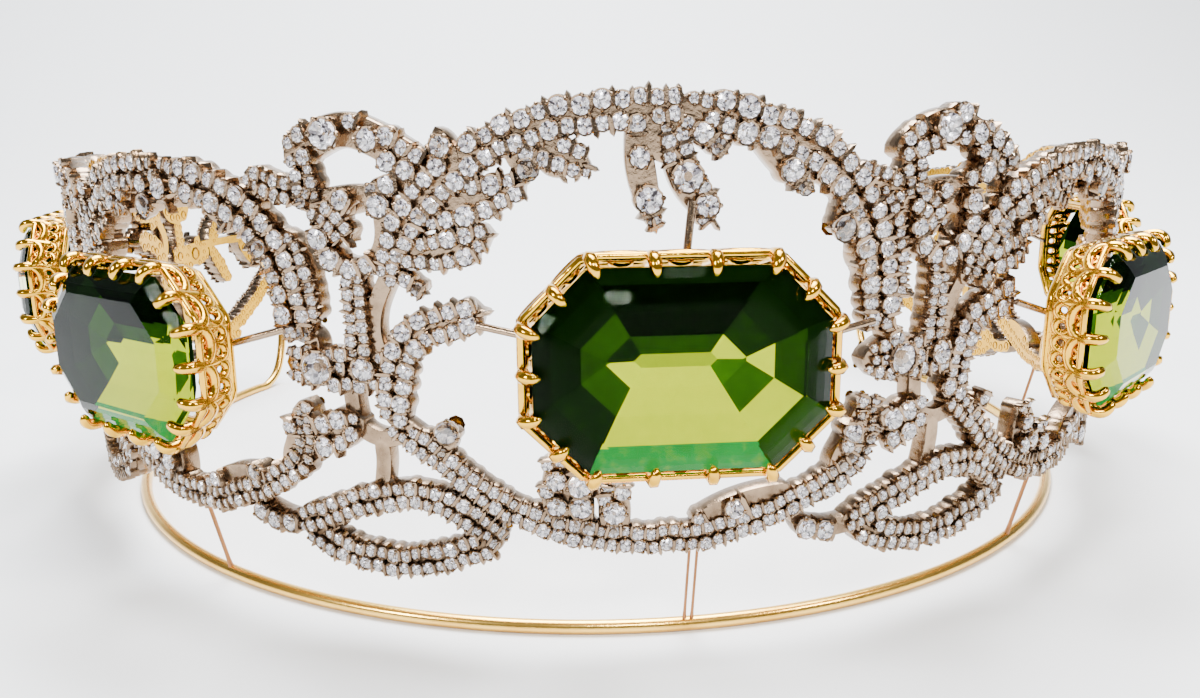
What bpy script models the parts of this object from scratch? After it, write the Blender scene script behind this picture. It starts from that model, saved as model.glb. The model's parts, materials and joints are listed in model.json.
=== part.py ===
"""Tiara: a horseshoe of open diamond scrollwork with large step-cut stones, on a base wire.

Metres, +Z up. The front stone faces -Y, and the band runs back on both sides, open behind.
The origin is the middle of the tiara's box, on the plane that the base wire rests on.

The scrollwork is drawn flat, as strips on a sheet, and then bent round the wearer's head.
On the sheet u runs along the band from the middle of a wreath and z is the height. A sheet
length is a share of the sheet's own sizes below, which stand for the real sizes of a section.
"""

import math
from collections import namedtuple

import bmesh
import bpy
from mathutils import Matrix, Vector

# Base wire
RING_RADIUS = 0.0750
WIRE_DIAMETER = 0.0016
RING_REACH = math.radians(118.0)
WIRE_END_HEIGHT = 0.0205
POST_WIDTH = 0.0013
# Where the posts stand along the base wire, in wreath pitches from the front
POST_PLACES = (-2.02, -1.03, 0.055, 0.98, 2.0)

# Band: a cone that leans out a little with height
BAND_OVER_RING = 0.0014
BAND_LEAN = 0.04
PLATE_THICKNESS = 0.0018
RELIEF = 0.0005
BAND_REACH = math.radians(127.0)
WREATH_PITCH = math.radians(41.0)
SIDE_SPREAD = 0.84

# Heights, from the plane that the base wire rests on
STONE_LINE = 0.0325
BAND_DROP = 0.0215
FRONT_RISE = 0.0250
SIDE_RISE = 0.0185
BACK_RISE = 0.0168
FRONT_KNOT_RISE = 0.0242
BACK_KNOT_RISE = 0.0182
END_RISE = 0.0146

# Widths of the strips that the scrollwork is made of
LIMB_WIDTH = 0.0040
BRANCH_WIDTH = 0.0030
LEAF_WIDTH = 0.0032
STEM_WIDTH = 0.0017
# How blunt a leaf is, and the share of a strip's length over which its ends narrow
LEAF_FULLNESS = 0.6
END_SHARE = 0.15

# Large stones and their settings
STONE_WIDTH = 0.0274
STONE_HEIGHT = 0.0190
STONE_CORNER = 0.0051
# The other settings and their stones are smaller than the front one, and sit a little lower
SIDE_STONE_SHARE = 0.91
SIDE_STONE_DROP = 0.0014
# How much of a stone's own narrowing its corner sides share
CORNER_SHRINK = 0.75
CROWN_HEIGHT = 0.0019
GIRDLE_HEIGHT = 0.0004
PAVILION_DEPTH = 0.0050
SETTING_DEPTH = 0.0056
RAIL_HEIGHT = 0.0012
GALLERY_TAPER = 0.0013
CLAW_WIDTH = 0.0011
CLAW_HEIGHT = 0.0017
CLAW_HOOK = 0.0010
# How far a corner side of the octagon grows with its distance from the girdle
CORNER_GROWTH = 0.6
# Share of the gallery's taper that is left over its back rail
RAIL_TAPER = 0.85
PIN_DIAMETER = 0.0008

# Larger diamonds
DIAMOND_HEIGHT = 0.0009

# Clear gap between pieces, and the seam between two sections
GAP = 0.0003

# The sheet: its own sizes, which the numbers of the tables below are shares of
SHEET_PITCH = 57.2
SHEET_STONE_LINE = 32.5
SHEET_TOP = 57.7
SHEET_FOOT = 11.0
STATION = 0.0040
MERGE = 1e-6
FLAT_ANGLE = math.radians(0.5)
# A corner of a seam is cut off where it would run out further than this
MITRE_LIMIT = 0.4

BAND_RADIUS = RING_RADIUS + BAND_OVER_RING
MEAN_RADIUS = BAND_RADIUS + BAND_LEAN * STONE_LINE + PLATE_THICKNESS
WIRE_CENTRE = WIRE_DIAMETER / 2 * math.cos(math.pi / 8)

# A strip of metal: kind is the named width that it is a share of, start and end are the
# shares of that width left at its ends, and line is its centre line on the sheet
Strip = namedtuple("Strip", "kind share start end line")
# A diamond of its own: its place on the sheet, and its diameter as a share of the limb's width
Stone = namedtuple("Stone", "name u z share")
# What differs from wreath to wreath and from knot to knot
Wreath = namedtuple("Wreath", "name place spread rise bunch stone_share stone_drop")
Knot = namedtuple("Knot", "name place rise tail")
# An outline of a cut stone: the share of its size taken away, and how far it lies in front of
# the girdle's back edge, or behind it, in girdle heights, crown heights and pavilion depths
Cut = namedtuple("Cut", "shrink girdle crown pavilion")
# A pin: its start in shares of the stone's half width and half height, and its end on the sheet
Pin = namedtuple("Pin", "across up u z")
# A bend of the base wire's end: shares of the way to the band's end and of the rise to it
Bend = namedtuple("Bend", "along up")

WIDTHS = {"limb": LIMB_WIDTH, "branch": BRANCH_WIDTH, "leaf": LEAF_WIDTH, "stem": STEM_WIDTH}
# How far each kind stands out in front of the plate, as a share of the relief
RELIEFS = {"limb": 0.55, "branch": 0.35, "leaf": 0.80, "stem": 0.10}

SWAG = Strip("branch", 0.95, 0.9, 0.7, ((-28.6, 25.0), (-24.3, 22.0), (-20.0, 18.6), (-16.0, 16.0),
                                        (-10.0, 13.7), (-4.0, 12.8), (0.0, 12.8), (4.0, 12.9),
                                        (8.0, 13.9), (14.0, 15.9), (18.0, 17.8), (21.2, 20.4),
                                        (21.8, 25.4)))
WREATH_STRIPS = (
    # left limb of the arch, up to the top, and the right limb down from it
    Strip("limb", 0.90, 0.6, 0.9, ((-28.2, 39.0), (-26.6, 43.4), (-23.9, 47.3), (-20.5, 50.4),
                                   (-16.5, 53.0), (-12.0, 54.6), (-7.5, 55.5), (0.6, 56.1))),
    Strip("limb", 1.05, 0.6, 0.7, ((0.2, 56.2), (5.0, 55.3), (9.0, 54.1), (12.8, 52.6), (16.4, 50.0),
                                   (19.2, 46.6), (21.0, 42.2), (21.9, 37.6), (22.4, 33.4))),
    Strip("branch", 0.90, 0.6, 0.6, ((20.6, 48.6), (23.0, 44.4), (24.0, 39.6), (23.8, 35.4))),
    # plain stem that joins the arch to the branch
    Strip("stem", 1.20, 1.0, 1.0, ((-28.0, 29.6), (-29.7, 33.0), (-29.6, 36.4), (-27.6, 40.6))),
    # leaves inside the left limb
    Strip("leaf", 1.10, 0.5, 0.05, ((-26.6, 42.0), (-22.0, 42.6), (-17.0, 44.2))),
    Strip("leaf", 1.25, 0.5, 0.05, ((-24.6, 45.8), (-19.5, 47.2), (-13.6, 49.2))),
    Strip("leaf", 0.60, 0.6, 0.10, ((-27.6, 40.6), (-25.8, 39.6), (-24.0, 38.7))),
    # leaves under the arch
    Strip("leaf", 1.10, 0.6, 0.05, ((-17.2, 52.9), (-12.0, 52.3), (-7.4, 50.5))),
    Strip("leaf", 0.75, 0.6, 0.05, ((-15.4, 52.4), (-13.0, 50.2))),
    Strip("leaf", 0.80, 0.6, 0.05, ((-12.6, 52.6), (-10.1, 49.6))),
    # leaf that stands up on the arch
    Strip("leaf", 0.85, 0.6, 0.20, ((-20.4, 49.8), (-21.9, 54.4))),
    # leaves inside the right limb
    Strip("leaf", 0.85, 0.6, 0.05, ((7.6, 54.0), (10.2, 51.4), (12.9, 48.5))),
    Strip("leaf", 0.85, 0.6, 0.05, ((18.2, 47.8), (17.1, 44.0))),
    Strip("leaf", 0.85, 0.6, 0.05, ((20.4, 43.6), (19.6, 39.9))),
    # branch whose leaf meets the left pin
    Strip("branch", 1.20, 0.9, 0.10, ((-28.2, 24.2), (-27.6, 30.0), (-26.0, 33.4), (-22.4, 35.4),
                                      (-17.8, 36.6))),
    # swag
    SWAG,
    Strip("leaf", 0.85, 0.3, 0.30, ((2.4, 14.4), (7.6, 16.1), (13.4, 17.4))),
    Strip("leaf", 0.75, 0.6, 0.20, ((-23.4, 21.2), (-22.2, 24.6))),
    Strip("leaf", 1.30, 0.6, 0.40, ((18.0, 18.2), (20.7, 21.8), (21.9, 26.4))),
    # sprigs that stand on the swag
    Strip("leaf", 1.10, 0.6, 0.20, ((-11.4, 13.6), (-11.4, 22.0))),
    Strip("leaf", 0.85, 0.6, 0.20, ((-8.6, 13.4), (-9.1, 20.8))),
    Strip("leaf", 1.15, 0.6, 0.20, ((-5.5, 12.8), (-5.5, 18.8))),
)

# The leaves that hang from the middle of the front arch, and the short ones of the others
FRONT_BUNCH = (
    Strip("leaf", 0.95, 0.6, 0.05, ((-3.4, 55.6), (-3.0, 50.6), (-1.7, 44.9))),
    Strip("leaf", 1.10, 0.7, 0.05, ((-0.2, 55.0), (1.2, 49.8), (4.1, 45.0))),
    Strip("leaf", 0.75, 0.6, 0.05, ((0.6, 55.2), (4.6, 52.0))),
    Strip("leaf", 0.95, 0.8, 0.30, ((-1.5, 55.4), (-1.1, 50.9))),
)
SIDE_BUNCH = (
    Strip("leaf", 0.95, 0.6, 0.05, ((-3.0, 55.6), (-2.0, 50.6))),
    Strip("leaf", 0.95, 0.6, 0.05, ((1.0, 55.4), (3.0, 50.8))),
)

# The knot, with u from the middle of the knot
KNOT_STRIPS = (
    # bow
    Strip("branch", 1.25, 0.7, 0.8, ((-6.4, 52.0), (-3.8, 53.4), (-1.2, 54.6), (1.2, 54.8),
                                     (3.6, 53.9), (6.2, 52.4), (9.0, 50.6))),
    Strip("branch", 0.85, 0.9, 0.9, ((-4.6, 53.8), (-3.9, 47.6))),
    Strip("branch", 0.90, 0.8, 0.10, ((-11.6, 50.6), (-6.8, 48.8), (-2.8, 47.0), (0.4, 43.6))),
    Strip("branch", 0.80, 0.6, 0.7, ((2.4, 48.6), (5.6, 49.7), (9.6, 51.0))),
    Strip("stem", 1.10, 1.0, 1.0, ((-3.4, 47.9), (0.2, 48.6), (3.6, 48.5))),
    Strip("leaf", 0.80, 0.7, 0.50, ((-1.0, 48.8), (1.3, 46.6))),
    # loop under the bow
    Strip("branch", 0.75, 1.0, 1.0, ((-3.1, 47.4), (-2.9, 43.6), (-1.4, 41.6), (0.6, 41.0),
                                     (2.8, 41.9), (3.9, 44.4), (3.7, 48.9))),
    Strip("branch", 0.85, 0.9, 0.9, ((0.4, 41.4), (0.3, 31.0))),
    # flower cluster
    Strip("limb", 1.15, 0.6, 0.6, ((-8.6, 30.4), (-3.8, 30.2), (3.4, 30.4))),
    Strip("leaf", 0.70, 0.6, 0.10, ((-4.6, 31.4), (-5.8, 34.4))),
    # plain stems down to the oval
    Strip("stem", 1.25, 1.0, 1.0, ((-1.4, 29.4), (-0.8, 24.4), (1.8, 22.8), (5.4, 23.6))),
    Strip("stem", 1.25, 1.0, 1.0, ((1.8, 23.0), (1.9, 20.0), (1.0, 15.0))),
    Strip("leaf", 1.40, 0.5, 0.50, ((0.2, 24.8), (-2.8, 23.4), (-5.6, 22.2))),
    # oval scroll, and the strip that carries the swag on
    Strip("branch", 1.00, 0.8, 0.8, ((-9.6, 12.2), (-4.8, 14.0), (-0.8, 15.6), (4.4, 17.0),
                                     (9.2, 16.2), (14.6, 12.6))),
    Strip("branch", 1.00, 0.8, 0.8, ((-9.0, 12.2), (-6.3, 11.0), (-2.8, 9.8), (1.2, 9.3),
                                     (4.2, 9.3), (7.2, 9.9), (11.2, 11.2), (14.8, 12.8))),
    Strip("branch", 0.80, 0.8, 0.8, ((-15.6, 13.0), (-11.4, 12.0), (-7.6, 12.2))),
)

# The scroll behind the last knot: here u is a share of the scroll's length from the knot
TAIL_STRIPS = (
    Strip("limb", 0.80, 0.8, 0.4, ((0.10, 50.0), (0.35, 50.0), (0.56, 46.6), (0.76, 41.2),
                                   (0.90, 35.8), (0.98, 30.6))),
    Strip("branch", 0.95, 0.8, 0.5, ((0.05, 16.0), (0.30, 13.6), (0.50, 15.4), (0.70, 19.6),
                                     (0.88, 25.4), (0.98, 31.6))),
    Strip("stem", 1.00, 1.0, 1.0, ((0.02, 31.6), (0.50, 31.7), (0.98, 31.0))),
    Strip("leaf", 1.00, 0.3, 0.05, ((0.28, 31.5), (0.44, 39.6))),
    Strip("leaf", 1.00, 0.3, 0.05, ((0.28, 31.6), (0.44, 23.6))),
    Strip("leaf", 0.90, 0.3, 0.05, ((0.55, 31.5), (0.69, 37.6))),
    Strip("leaf", 0.90, 0.3, 0.05, ((0.56, 31.6), (0.70, 25.6))),
)

# The seams at the two sides of a wreath, from above the band to below it
SEAM_LEFT = ((-21.2, 66.0), (-22.4, 52.8), (-24.2, 49.8), (-27.0, 47.3), (-28.4, 44.0),
             (-30.5, 39.4), (-31.8, 35.2), (-30.9, 32.2), (-30.2, 28.0), (-30.2, 23.6),
             (-26.5, 20.4), (-22.6, 18.0), (-19.5, 15.6), (-17.6, 13.4), (-17.2, 3.0))
SEAM_RIGHT = ((18.6, 66.0), (19.0, 53.6), (21.6, 50.6), (23.2, 47.6), (24.8, 43.5), (25.5, 38.0),
              (25.0, 35.4), (23.6, 34.1), (15.6, 33.9), (15.4, 27.9), (21.4, 27.6), (23.8, 26.2),
              (24.0, 22.8), (22.6, 18.6), (19.0, 16.6), (15.6, 14.6), (15.0, 3.0))
# Where a knot's own middle lies between its two seams, on the sheet
KNOT_OFFSET = 3.9

FRONT_DIAMONDS = (Stone("front_bunch_diamond", 1.3, 49.6, 0.70),)
KNOT_DIAMONDS = (Stone("bow_diamond", -1.0, 54.5, 0.72), Stone("flower_diamond", -4.2, 30.3, 0.82))

# The step-cut stone from its table to its keel, and the round one from its back to its table,
# as shares of its radius and of its height
STEP_CUTS = (Cut(0.30, 1, 1.0, 0), Cut(0.16, 1, 0.62, 0), Cut(0.0, 1, 0, 0), Cut(0.0, 0, 0, 0),
             Cut(0.30, 0, 0, 0.45), Cut(0.60, 0, 0, 0.80), Cut(0.86, 0, 0, 1.0))
ROUND_CUTS = ((0.62, 0.0), (1.0, 0.35), (0.58, 1.0))

WIRE_BENDS = (Bend(0.30, 0.10), Bend(0.52, 0.32), Bend(0.66, 0.62), Bend(0.74, 1.0))

# Claws on each side of the setting's octagon, from its upper right corner side on, clockwise
CLAWS_ON_SIDE = (1, 3, 1, 4, 1, 3, 1, 4)
# The pins of a setting: where each leaves the rail, and where it meets the wreath
PINS = (Pin(-0.915, 0.225, -18.6, 35.5), Pin(0.915, 0.130, 21.0, 34.7))
FRONT_PIN = Pin(0.080, 0.992, 1.7, 47.4)

WREATHS = (
    Wreath("wreath_left_back", -2, SIDE_SPREAD, BACK_RISE, SIDE_BUNCH,
           SIDE_STONE_SHARE, SIDE_STONE_DROP),
    Wreath("wreath_left", -1, SIDE_SPREAD, SIDE_RISE, SIDE_BUNCH,
           SIDE_STONE_SHARE, SIDE_STONE_DROP),
    Wreath("wreath_front", 0, 1.0, FRONT_RISE, FRONT_BUNCH, 1.0, 0.0),
    Wreath("wreath_right", 1, SIDE_SPREAD, SIDE_RISE, SIDE_BUNCH,
           SIDE_STONE_SHARE, SIDE_STONE_DROP),
    Wreath("wreath_right_back", 2, SIDE_SPREAD, BACK_RISE, SIDE_BUNCH,
           SIDE_STONE_SHARE, SIDE_STONE_DROP),
)
# A knot's place is the number of the wreath on its left
KNOTS = (
    Knot("end_left", -3, END_RISE, -1),
    Knot("knot_left_back", -2, BACK_KNOT_RISE, 0),
    Knot("knot_left_front", -1, FRONT_KNOT_RISE, 0),
    Knot("knot_right_front", 0, FRONT_KNOT_RISE, 0),
    Knot("knot_right_back", 1, BACK_KNOT_RISE, 0),
    Knot("end_right", 2, END_RISE, 1),
)


def clear_scene():
    for obj in list(bpy.data.objects):
        bpy.data.objects.remove(obj)


def make_collection(name):
    collection = bpy.data.collections.new(name)
    bpy.context.scene.collection.children.link(collection)
    return collection


def make_material(name, colour, roughness, metallic):
    material = bpy.data.materials.new(name)
    material.use_nodes = True
    shader = material.node_tree.nodes["Principled BSDF"]
    shader.inputs["Base Color"].default_value = (*colour, 1.0)
    shader.inputs["Roughness"].default_value = roughness
    shader.inputs["Metallic"].default_value = metallic
    return material


def add_object(name, mesh, collection, material=None):
    obj = bpy.data.objects.new(name, mesh)
    collection.objects.link(obj)
    if material:
        mesh.materials.clear()
        mesh.materials.append(material)
    return obj


def mesh_from(bm, name):
    mesh = bpy.data.meshes.new(name)
    bm.to_mesh(mesh)
    bm.free()
    return mesh


def evaluated_mesh(obj):
    """A copy of the object's mesh with its modifiers or its curve worked out."""
    graph = bpy.context.evaluated_depsgraph_get()
    graph.update()
    return bpy.data.meshes.new_from_object(obj.evaluated_get(graph))


# Drawing on the sheet

def sheet_x(u):
    """Distance along the band for a distance on the sheet."""
    return u / SHEET_PITCH * WREATH_PITCH * MEAN_RADIUS


def sheet_z(z, rise):
    """Height for a height on the sheet, in a section that rises this far over the stone line."""
    if z >= SHEET_STONE_LINE:
        return STONE_LINE + (z - SHEET_STONE_LINE) / (SHEET_TOP - SHEET_STONE_LINE) * rise
    return STONE_LINE + (z - SHEET_STONE_LINE) / (SHEET_STONE_LINE - SHEET_FOOT) * BAND_DROP


def smooth_line(points, step):
    """Points on a smooth curve through the given ones, about a step apart."""
    first = points[0] * 2 - points[1]
    last = points[-1] * 2 - points[-2]
    padded = [first, *points, last]
    line = [points[0]]
    for before, start, end, after in zip(padded, padded[1:], padded[2:], padded[3:]):
        count = max(1, round((end - start).length / step))
        for index in range(1, count + 1):
            t = index / count
            line.append(0.5 * (2 * start + (end - before) * t
                               + (2 * before - 5 * start + 4 * end - after) * t ** 2
                               + (3 * start - before - 3 * end + after) * t ** 3))
    return line


def strip_width(strip, share):
    """The strip's width at a share of its length: full in the middle, less at its ends."""
    swell = math.sin(math.pi * min(1.0, max(0.0, share))) ** LEAF_FULLNESS
    rest = strip.start + (strip.end - strip.start) * share
    if strip.kind == "leaf":
        return WIDTHS[strip.kind] * strip.share * (rest * (1 - swell) + swell)
    ends = min(share / END_SHARE, (1 - share) / END_SHARE, 1.0)
    side = strip.start if share < 0.5 else strip.end
    return WIDTHS[strip.kind] * strip.share * (side + (1 - side) * ends)


def add_strip(bm, strip, line):
    """Adds the strip as a flat bar along its line, with its back on the plate's back."""
    front = -(PLATE_THICKNESS + RELIEF * RELIEFS[strip.kind])
    points = smooth_line(line, STATION)
    if strip.kind == "leaf" and len(points) < 3:
        points = [line[0], (line[0] + line[-1]) / 2, line[-1]]
    left, right = [], []
    for index, point in enumerate(points):
        ahead = points[min(index + 1, len(points) - 1)]
        behind = points[max(index - 1, 0)]
        side = (ahead - behind).normalized()
        side = Vector((-side.y, side.x)) * strip_width(strip, index / (len(points) - 1)) / 2
        left.append(point + side)
        right.append(point - side)
    add_prism(bm, left + right[::-1], 0.0, front)


def add_prism(bm, outline, back, front):
    """Adds a flat outline of the sheet as a block between two depths."""
    face = bm.faces.new([bm.verts.new((point.x, back, point.y)) for point in outline])
    extruded = bmesh.ops.extrude_face_region(bm, geom=[face])["geom"]
    bmesh.ops.translate(bm, vec=(0, front - back, 0),
                        verts=[item for item in extruded if isinstance(item, bmesh.types.BMVert)])
    bmesh.ops.recalc_face_normals(bm, faces=bm.faces)


def inset(polygon, distance):
    """The polygon with each side moved in by a distance."""
    area = sum(a.x * b.y - b.x * a.y for a, b in zip(polygon, polygon[1:] + polygon[:1]))
    turn = 1.0 if area > 0 else -1.0
    moved = []
    for index, point in enumerate(polygon):
        before = (point - polygon[index - 1]).normalized()
        after = (polygon[(index + 1) % len(polygon)] - point).normalized()
        normal = Vector((-before.y - after.y, before.x + after.x)).normalized() * turn
        reach = max(MITRE_LIMIT, abs(normal.dot(Vector((-before.y, before.x)))))
        moved.append(point + normal * distance / reach)
    return moved


def make_territory(name, outline, collection):
    """A block that holds one section, short of its neighbours by half a seam."""
    deep = PLATE_THICKNESS + 4 * RELIEF
    bm = bmesh.new()
    add_prism(bm, inset(outline, GAP / 2), deep, -2 * deep)
    return make_cutter(name, bm, collection)


def make_cutter(name, bm, collection):
    block = add_object(name, mesh_from(bm, name), collection)
    block.hide_render = True
    block.display_type = "WIRE"
    return block


def fuse(name, loose, keep, collection):
    """Unites the loose solids of one mesh into one closed body, as far as they lie in keep."""
    obj = add_object(name, loose, collection)
    cut = obj.modifiers.new("fuse", "BOOLEAN")
    cut.operation = "INTERSECT"
    cut.solver = "EXACT"
    cut.use_self = True
    cut.object = keep
    fused = evaluated_mesh(obj)
    bpy.data.objects.remove(obj)
    return fused


def tidy_flats(mesh):
    """Merges the faces that share a plane, then splits every face into triangles."""
    bm = bmesh.new()
    bm.from_mesh(mesh)
    bmesh.ops.remove_doubles(bm, verts=bm.verts, dist=MERGE)
    bmesh.ops.dissolve_limit(bm, angle_limit=FLAT_ANGLE, verts=[], edges=bm.edges[:])
    bmesh.ops.triangulate(bm, faces=bm.faces[:], quad_method="BEAUTY", ngon_method="BEAUTY")
    bm.to_mesh(mesh)
    bm.free()


def wrap(mesh, azimuth):
    """Bends the flat sheet round the band's cone, with the sheet's middle at an azimuth."""
    for vertex in mesh.vertices:
        along, depth, height = vertex.co
        angle = azimuth + along / MEAN_RADIUS
        radius = BAND_RADIUS + BAND_LEAN * height - depth
        vertex.co = (radius * math.sin(angle), -radius * math.cos(angle), height)
    mesh.update()


def build_section(name, strips, outline, azimuth, collections, material):
    """One section of the band: its strips united, cut at its seams and bent round the head.

    Each entry of strips is a strip and its centre line in metres from the section's middle.
    """
    bm = bmesh.new()
    for strip, line in strips:
        add_strip(bm, strip, line)
    parts, cutters = collections
    keep = make_territory(name + "_territory", outline, cutters)
    mesh = fuse(name, mesh_from(bm, name), keep, cutters)
    tidy_flats(mesh)
    wrap(mesh, azimuth)
    return add_object(name, mesh, parts, material)


def wreath_seam(rows, wreath, shift=0.0):
    """A seam of a wreath in metres, from a point that lies shift along from its middle."""
    return [Vector((sheet_x(u) * wreath.spread - shift, sheet_z(z, wreath.rise))) for u, z in rows]


def build_wreath(wreath, collections, material):
    def on_sheet(u, z):
        return Vector((sheet_x(u) * wreath.spread, sheet_z(z, wreath.rise)))

    strips = [(strip, [on_sheet(u, z) for u, z in strip.line])
              for strip in WREATH_STRIPS + wreath.bunch]
    outline = wreath_seam(SEAM_LEFT, wreath) + wreath_seam(SEAM_RIGHT, wreath)[::-1]
    return build_section(wreath.name, strips, outline, wreath.place * WREATH_PITCH, collections, material)


def build_knot(knot, collections, material):
    wreaths = {wreath.place: wreath for wreath in WREATHS}
    pitch = WREATH_PITCH * MEAN_RADIUS
    reach = BAND_REACH * MEAN_RADIUS
    left, right = wreaths.get(knot.place), wreaths.get(knot.place + 1)
    if left:
        edge = sheet_x(max(u for u, z in SEAM_RIGHT)) * left.spread
        middle = knot.place * pitch + edge + sheet_x(KNOT_OFFSET)
    else:
        edge = sheet_x(min(u for u, z in SEAM_LEFT)) * right.spread
        middle = (knot.place + 1) * pitch + edge - sheet_x(KNOT_OFFSET)
    strips = [(strip, [Vector((sheet_x(u), sheet_z(z, knot.rise))) for u, z in strip.line])
              for strip in KNOT_STRIPS]
    outline = []
    if knot.tail:
        length = knot.tail * (reach - abs(middle))
        strips += [(strip, [Vector((length * u, sheet_z(z, knot.rise))) for u, z in strip.line])
                   for strip in TAIL_STRIPS]
    if left:
        outline += wreath_seam(SEAM_RIGHT, left, middle - left.place * pitch)
    else:
        outline += [Vector((-reach - middle, sheet_z(z, knot.rise))) for z in (66.0, 3.0)]
    if right:
        outline += wreath_seam(SEAM_LEFT, right, middle - right.place * pitch)[::-1]
    else:
        outline += [Vector((reach - middle, sheet_z(z, knot.rise))) for z in (3.0, 66.0)]
    return build_section(knot.name, strips, outline, middle / MEAN_RADIUS, collections, material), middle


# Wires

def wire_mesh(paths, diameter, resolution, tilt=0.0):
    """Round wires along paths of points, joined in one mesh. A path may be closed.

    Each entry of paths is a list of points and whether it is closed.
    """
    curve = bpy.data.curves.new("wire", "CURVE")
    curve.dimensions = "3D"
    curve.twist_mode = "Z_UP"
    curve.bevel_depth = diameter / 2
    curve.bevel_resolution = resolution
    curve.use_fill_caps = True
    for points, closed in paths:
        spline = curve.splines.new("POLY")
        spline.points.add(len(points) - 1)
        for target, point in zip(spline.points, points):
            target.co = (*point, 1.0)
            target.tilt = tilt
        spline.use_cyclic_u = closed
    obj = bpy.data.objects.new("wire", curve)
    bpy.context.scene.collection.objects.link(obj)
    mesh = evaluated_mesh(obj)
    bpy.data.objects.remove(obj)
    bm = bmesh.new()
    bm.from_mesh(mesh)
    bmesh.ops.remove_doubles(bm, verts=bm.verts, dist=1e-7)
    bmesh.ops.recalc_face_normals(bm, faces=bm.faces)
    return bm


def join_into(bm, other):
    """Adds the faces of another bmesh, which is then freed."""
    mesh = mesh_from(other, "joined")
    bm.from_mesh(mesh)
    bpy.data.meshes.remove(mesh)


def make_room(name, collection):
    """A block that is larger than all that is fused inside it."""
    bm = bmesh.new()
    bmesh.ops.create_cube(bm, size=4 * (BAND_RADIUS + SETTING_DEPTH))
    return make_cutter(name, bm, collection)


def polar(azimuth, radius, height):
    return Vector((radius * math.sin(azimuth), -radius * math.cos(azimuth), height))


def swag_underside():
    """Height of the swag's lower edge at the middle of a wreath."""
    lowest = min(z for u, z in SWAG.line)
    return sheet_z(lowest, FRONT_RISE) - WIDTHS[SWAG.kind] * SWAG.share / 2


def build_base_frame(collections, material):
    """The base wire, its ends that rise to the band, and a post under each wreath."""
    parts, cutters = collections
    steps = round(RING_REACH / math.radians(8.0))
    ring = [polar(RING_REACH * index / steps, RING_RADIUS, WIRE_CENTRE) for index in range(steps + 1)]
    # The end turns up and out to the band
    band_foot = BAND_RADIUS + BAND_LEAN * WIRE_END_HEIGHT + PLATE_THICKNESS / 2
    for bend in WIRE_BENDS:
        azimuth = RING_REACH + (BAND_REACH - RING_REACH) * bend.along
        radius = RING_RADIUS + (band_foot - RING_RADIUS) * bend.up
        ring.append(polar(azimuth, radius, WIRE_CENTRE + (WIRE_END_HEIGHT - WIRE_CENTRE) * bend.up))
    half = [Vector((-p.x, p.y, p.z)) for p in ring[:0:-1]]
    bm = wire_mesh([(half + ring, False)], WIRE_DIAMETER, 2, math.pi / 8)
    top = swag_underside() - GAP
    band_foot = BAND_RADIUS + BAND_LEAN * top + PLATE_THICKNESS / 2
    posts = [([polar(place * WREATH_PITCH, RING_RADIUS, WIRE_CENTRE),
               polar(place * WREATH_PITCH, band_foot, top)], False) for place in POST_PLACES]
    join_into(bm, wire_mesh(posts, POST_WIDTH, 0, math.pi / 4))
    mesh = fuse("base_frame", mesh_from(bm, "base_frame"), make_room("frame_room", cutters), cutters)
    return add_object("base_frame", mesh, parts, material)


# Settings and cut stones

def octagon(width, height, corner):
    """Corners of a rectangle with cut corners, in order, as x and z."""
    x, z = width / 2, height / 2
    return [(x - corner, z), (x, z - corner), (x, corner - z), (x - corner, -z),
            (corner - x, -z), (-x, corner - z), (-x, z - corner), (corner - x, z)]


def setting_seat():
    """Distance from the head's axis to the flat back of the settings."""
    top = STONE_LINE + STONE_HEIGHT / 2 + CLAW_WIDTH
    return BAND_RADIUS + BAND_LEAN * top + PLATE_THICKNESS + RELIEF + 3 * GAP


def seating(wreath):
    """Brings a setting of the front's size and place to this wreath's, with its back on the seat."""
    seat = Vector((0, -setting_seat(), STONE_LINE))
    lower = Matrix.Translation(seat - Vector((0, 0, wreath.stone_drop)))
    return lower @ Matrix.Scale(wreath.stone_share, 4) @ Matrix.Translation(-seat)


def setting_outline(reach):
    """Corners of the setting's outline, this far outside the stone's girdle."""
    return octagon(STONE_WIDTH + 2 * reach, STONE_HEIGHT + 2 * reach, STONE_CORNER + CORNER_GROWTH * reach)


def gallery_stations():
    """The edges of the claws on the way round the setting: side of the octagon, share of the side.

    They come in pairs, the two edges of a claw, so a column that starts at an even one is a claw.
    """
    outline = [Vector(corner) for corner in setting_outline(GAP + CLAW_WIDTH)]
    stations = []
    for side, corner in enumerate(outline):
        length = (outline[(side + 1) % 8] - corner).length
        count = CLAWS_ON_SIDE[side]
        width = CLAW_WIDTH / length
        first = width / 2 if count > 1 else 0.5
        for index in range(count):
            centre = first + (1 - 2 * first) * index / max(1, count - 1)
            stations += [(side, centre - width / 2), (side, centre + width / 2)]
    return stations


def gallery_levels():
    """Rows of the gallery: depth, reach of its outer and of its inner face from the girdle."""
    seat = setting_seat()
    girdle = seat + SETTING_DEPTH
    wall = GAP + CLAW_WIDTH
    drawn_in = GALLERY_TAPER
    return ((seat, wall - drawn_in, GAP - drawn_in),
            (seat + RAIL_HEIGHT, wall - drawn_in * RAIL_TAPER, GAP - drawn_in * RAIL_TAPER),
            (girdle + GIRDLE_HEIGHT - RAIL_HEIGHT, wall, GAP),
            (girdle + GIRDLE_HEIGHT, wall, GAP),
            (girdle + GIRDLE_HEIGHT + CLAW_HEIGHT, wall - CLAW_HOOK, GAP - CLAW_HOOK))


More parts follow.
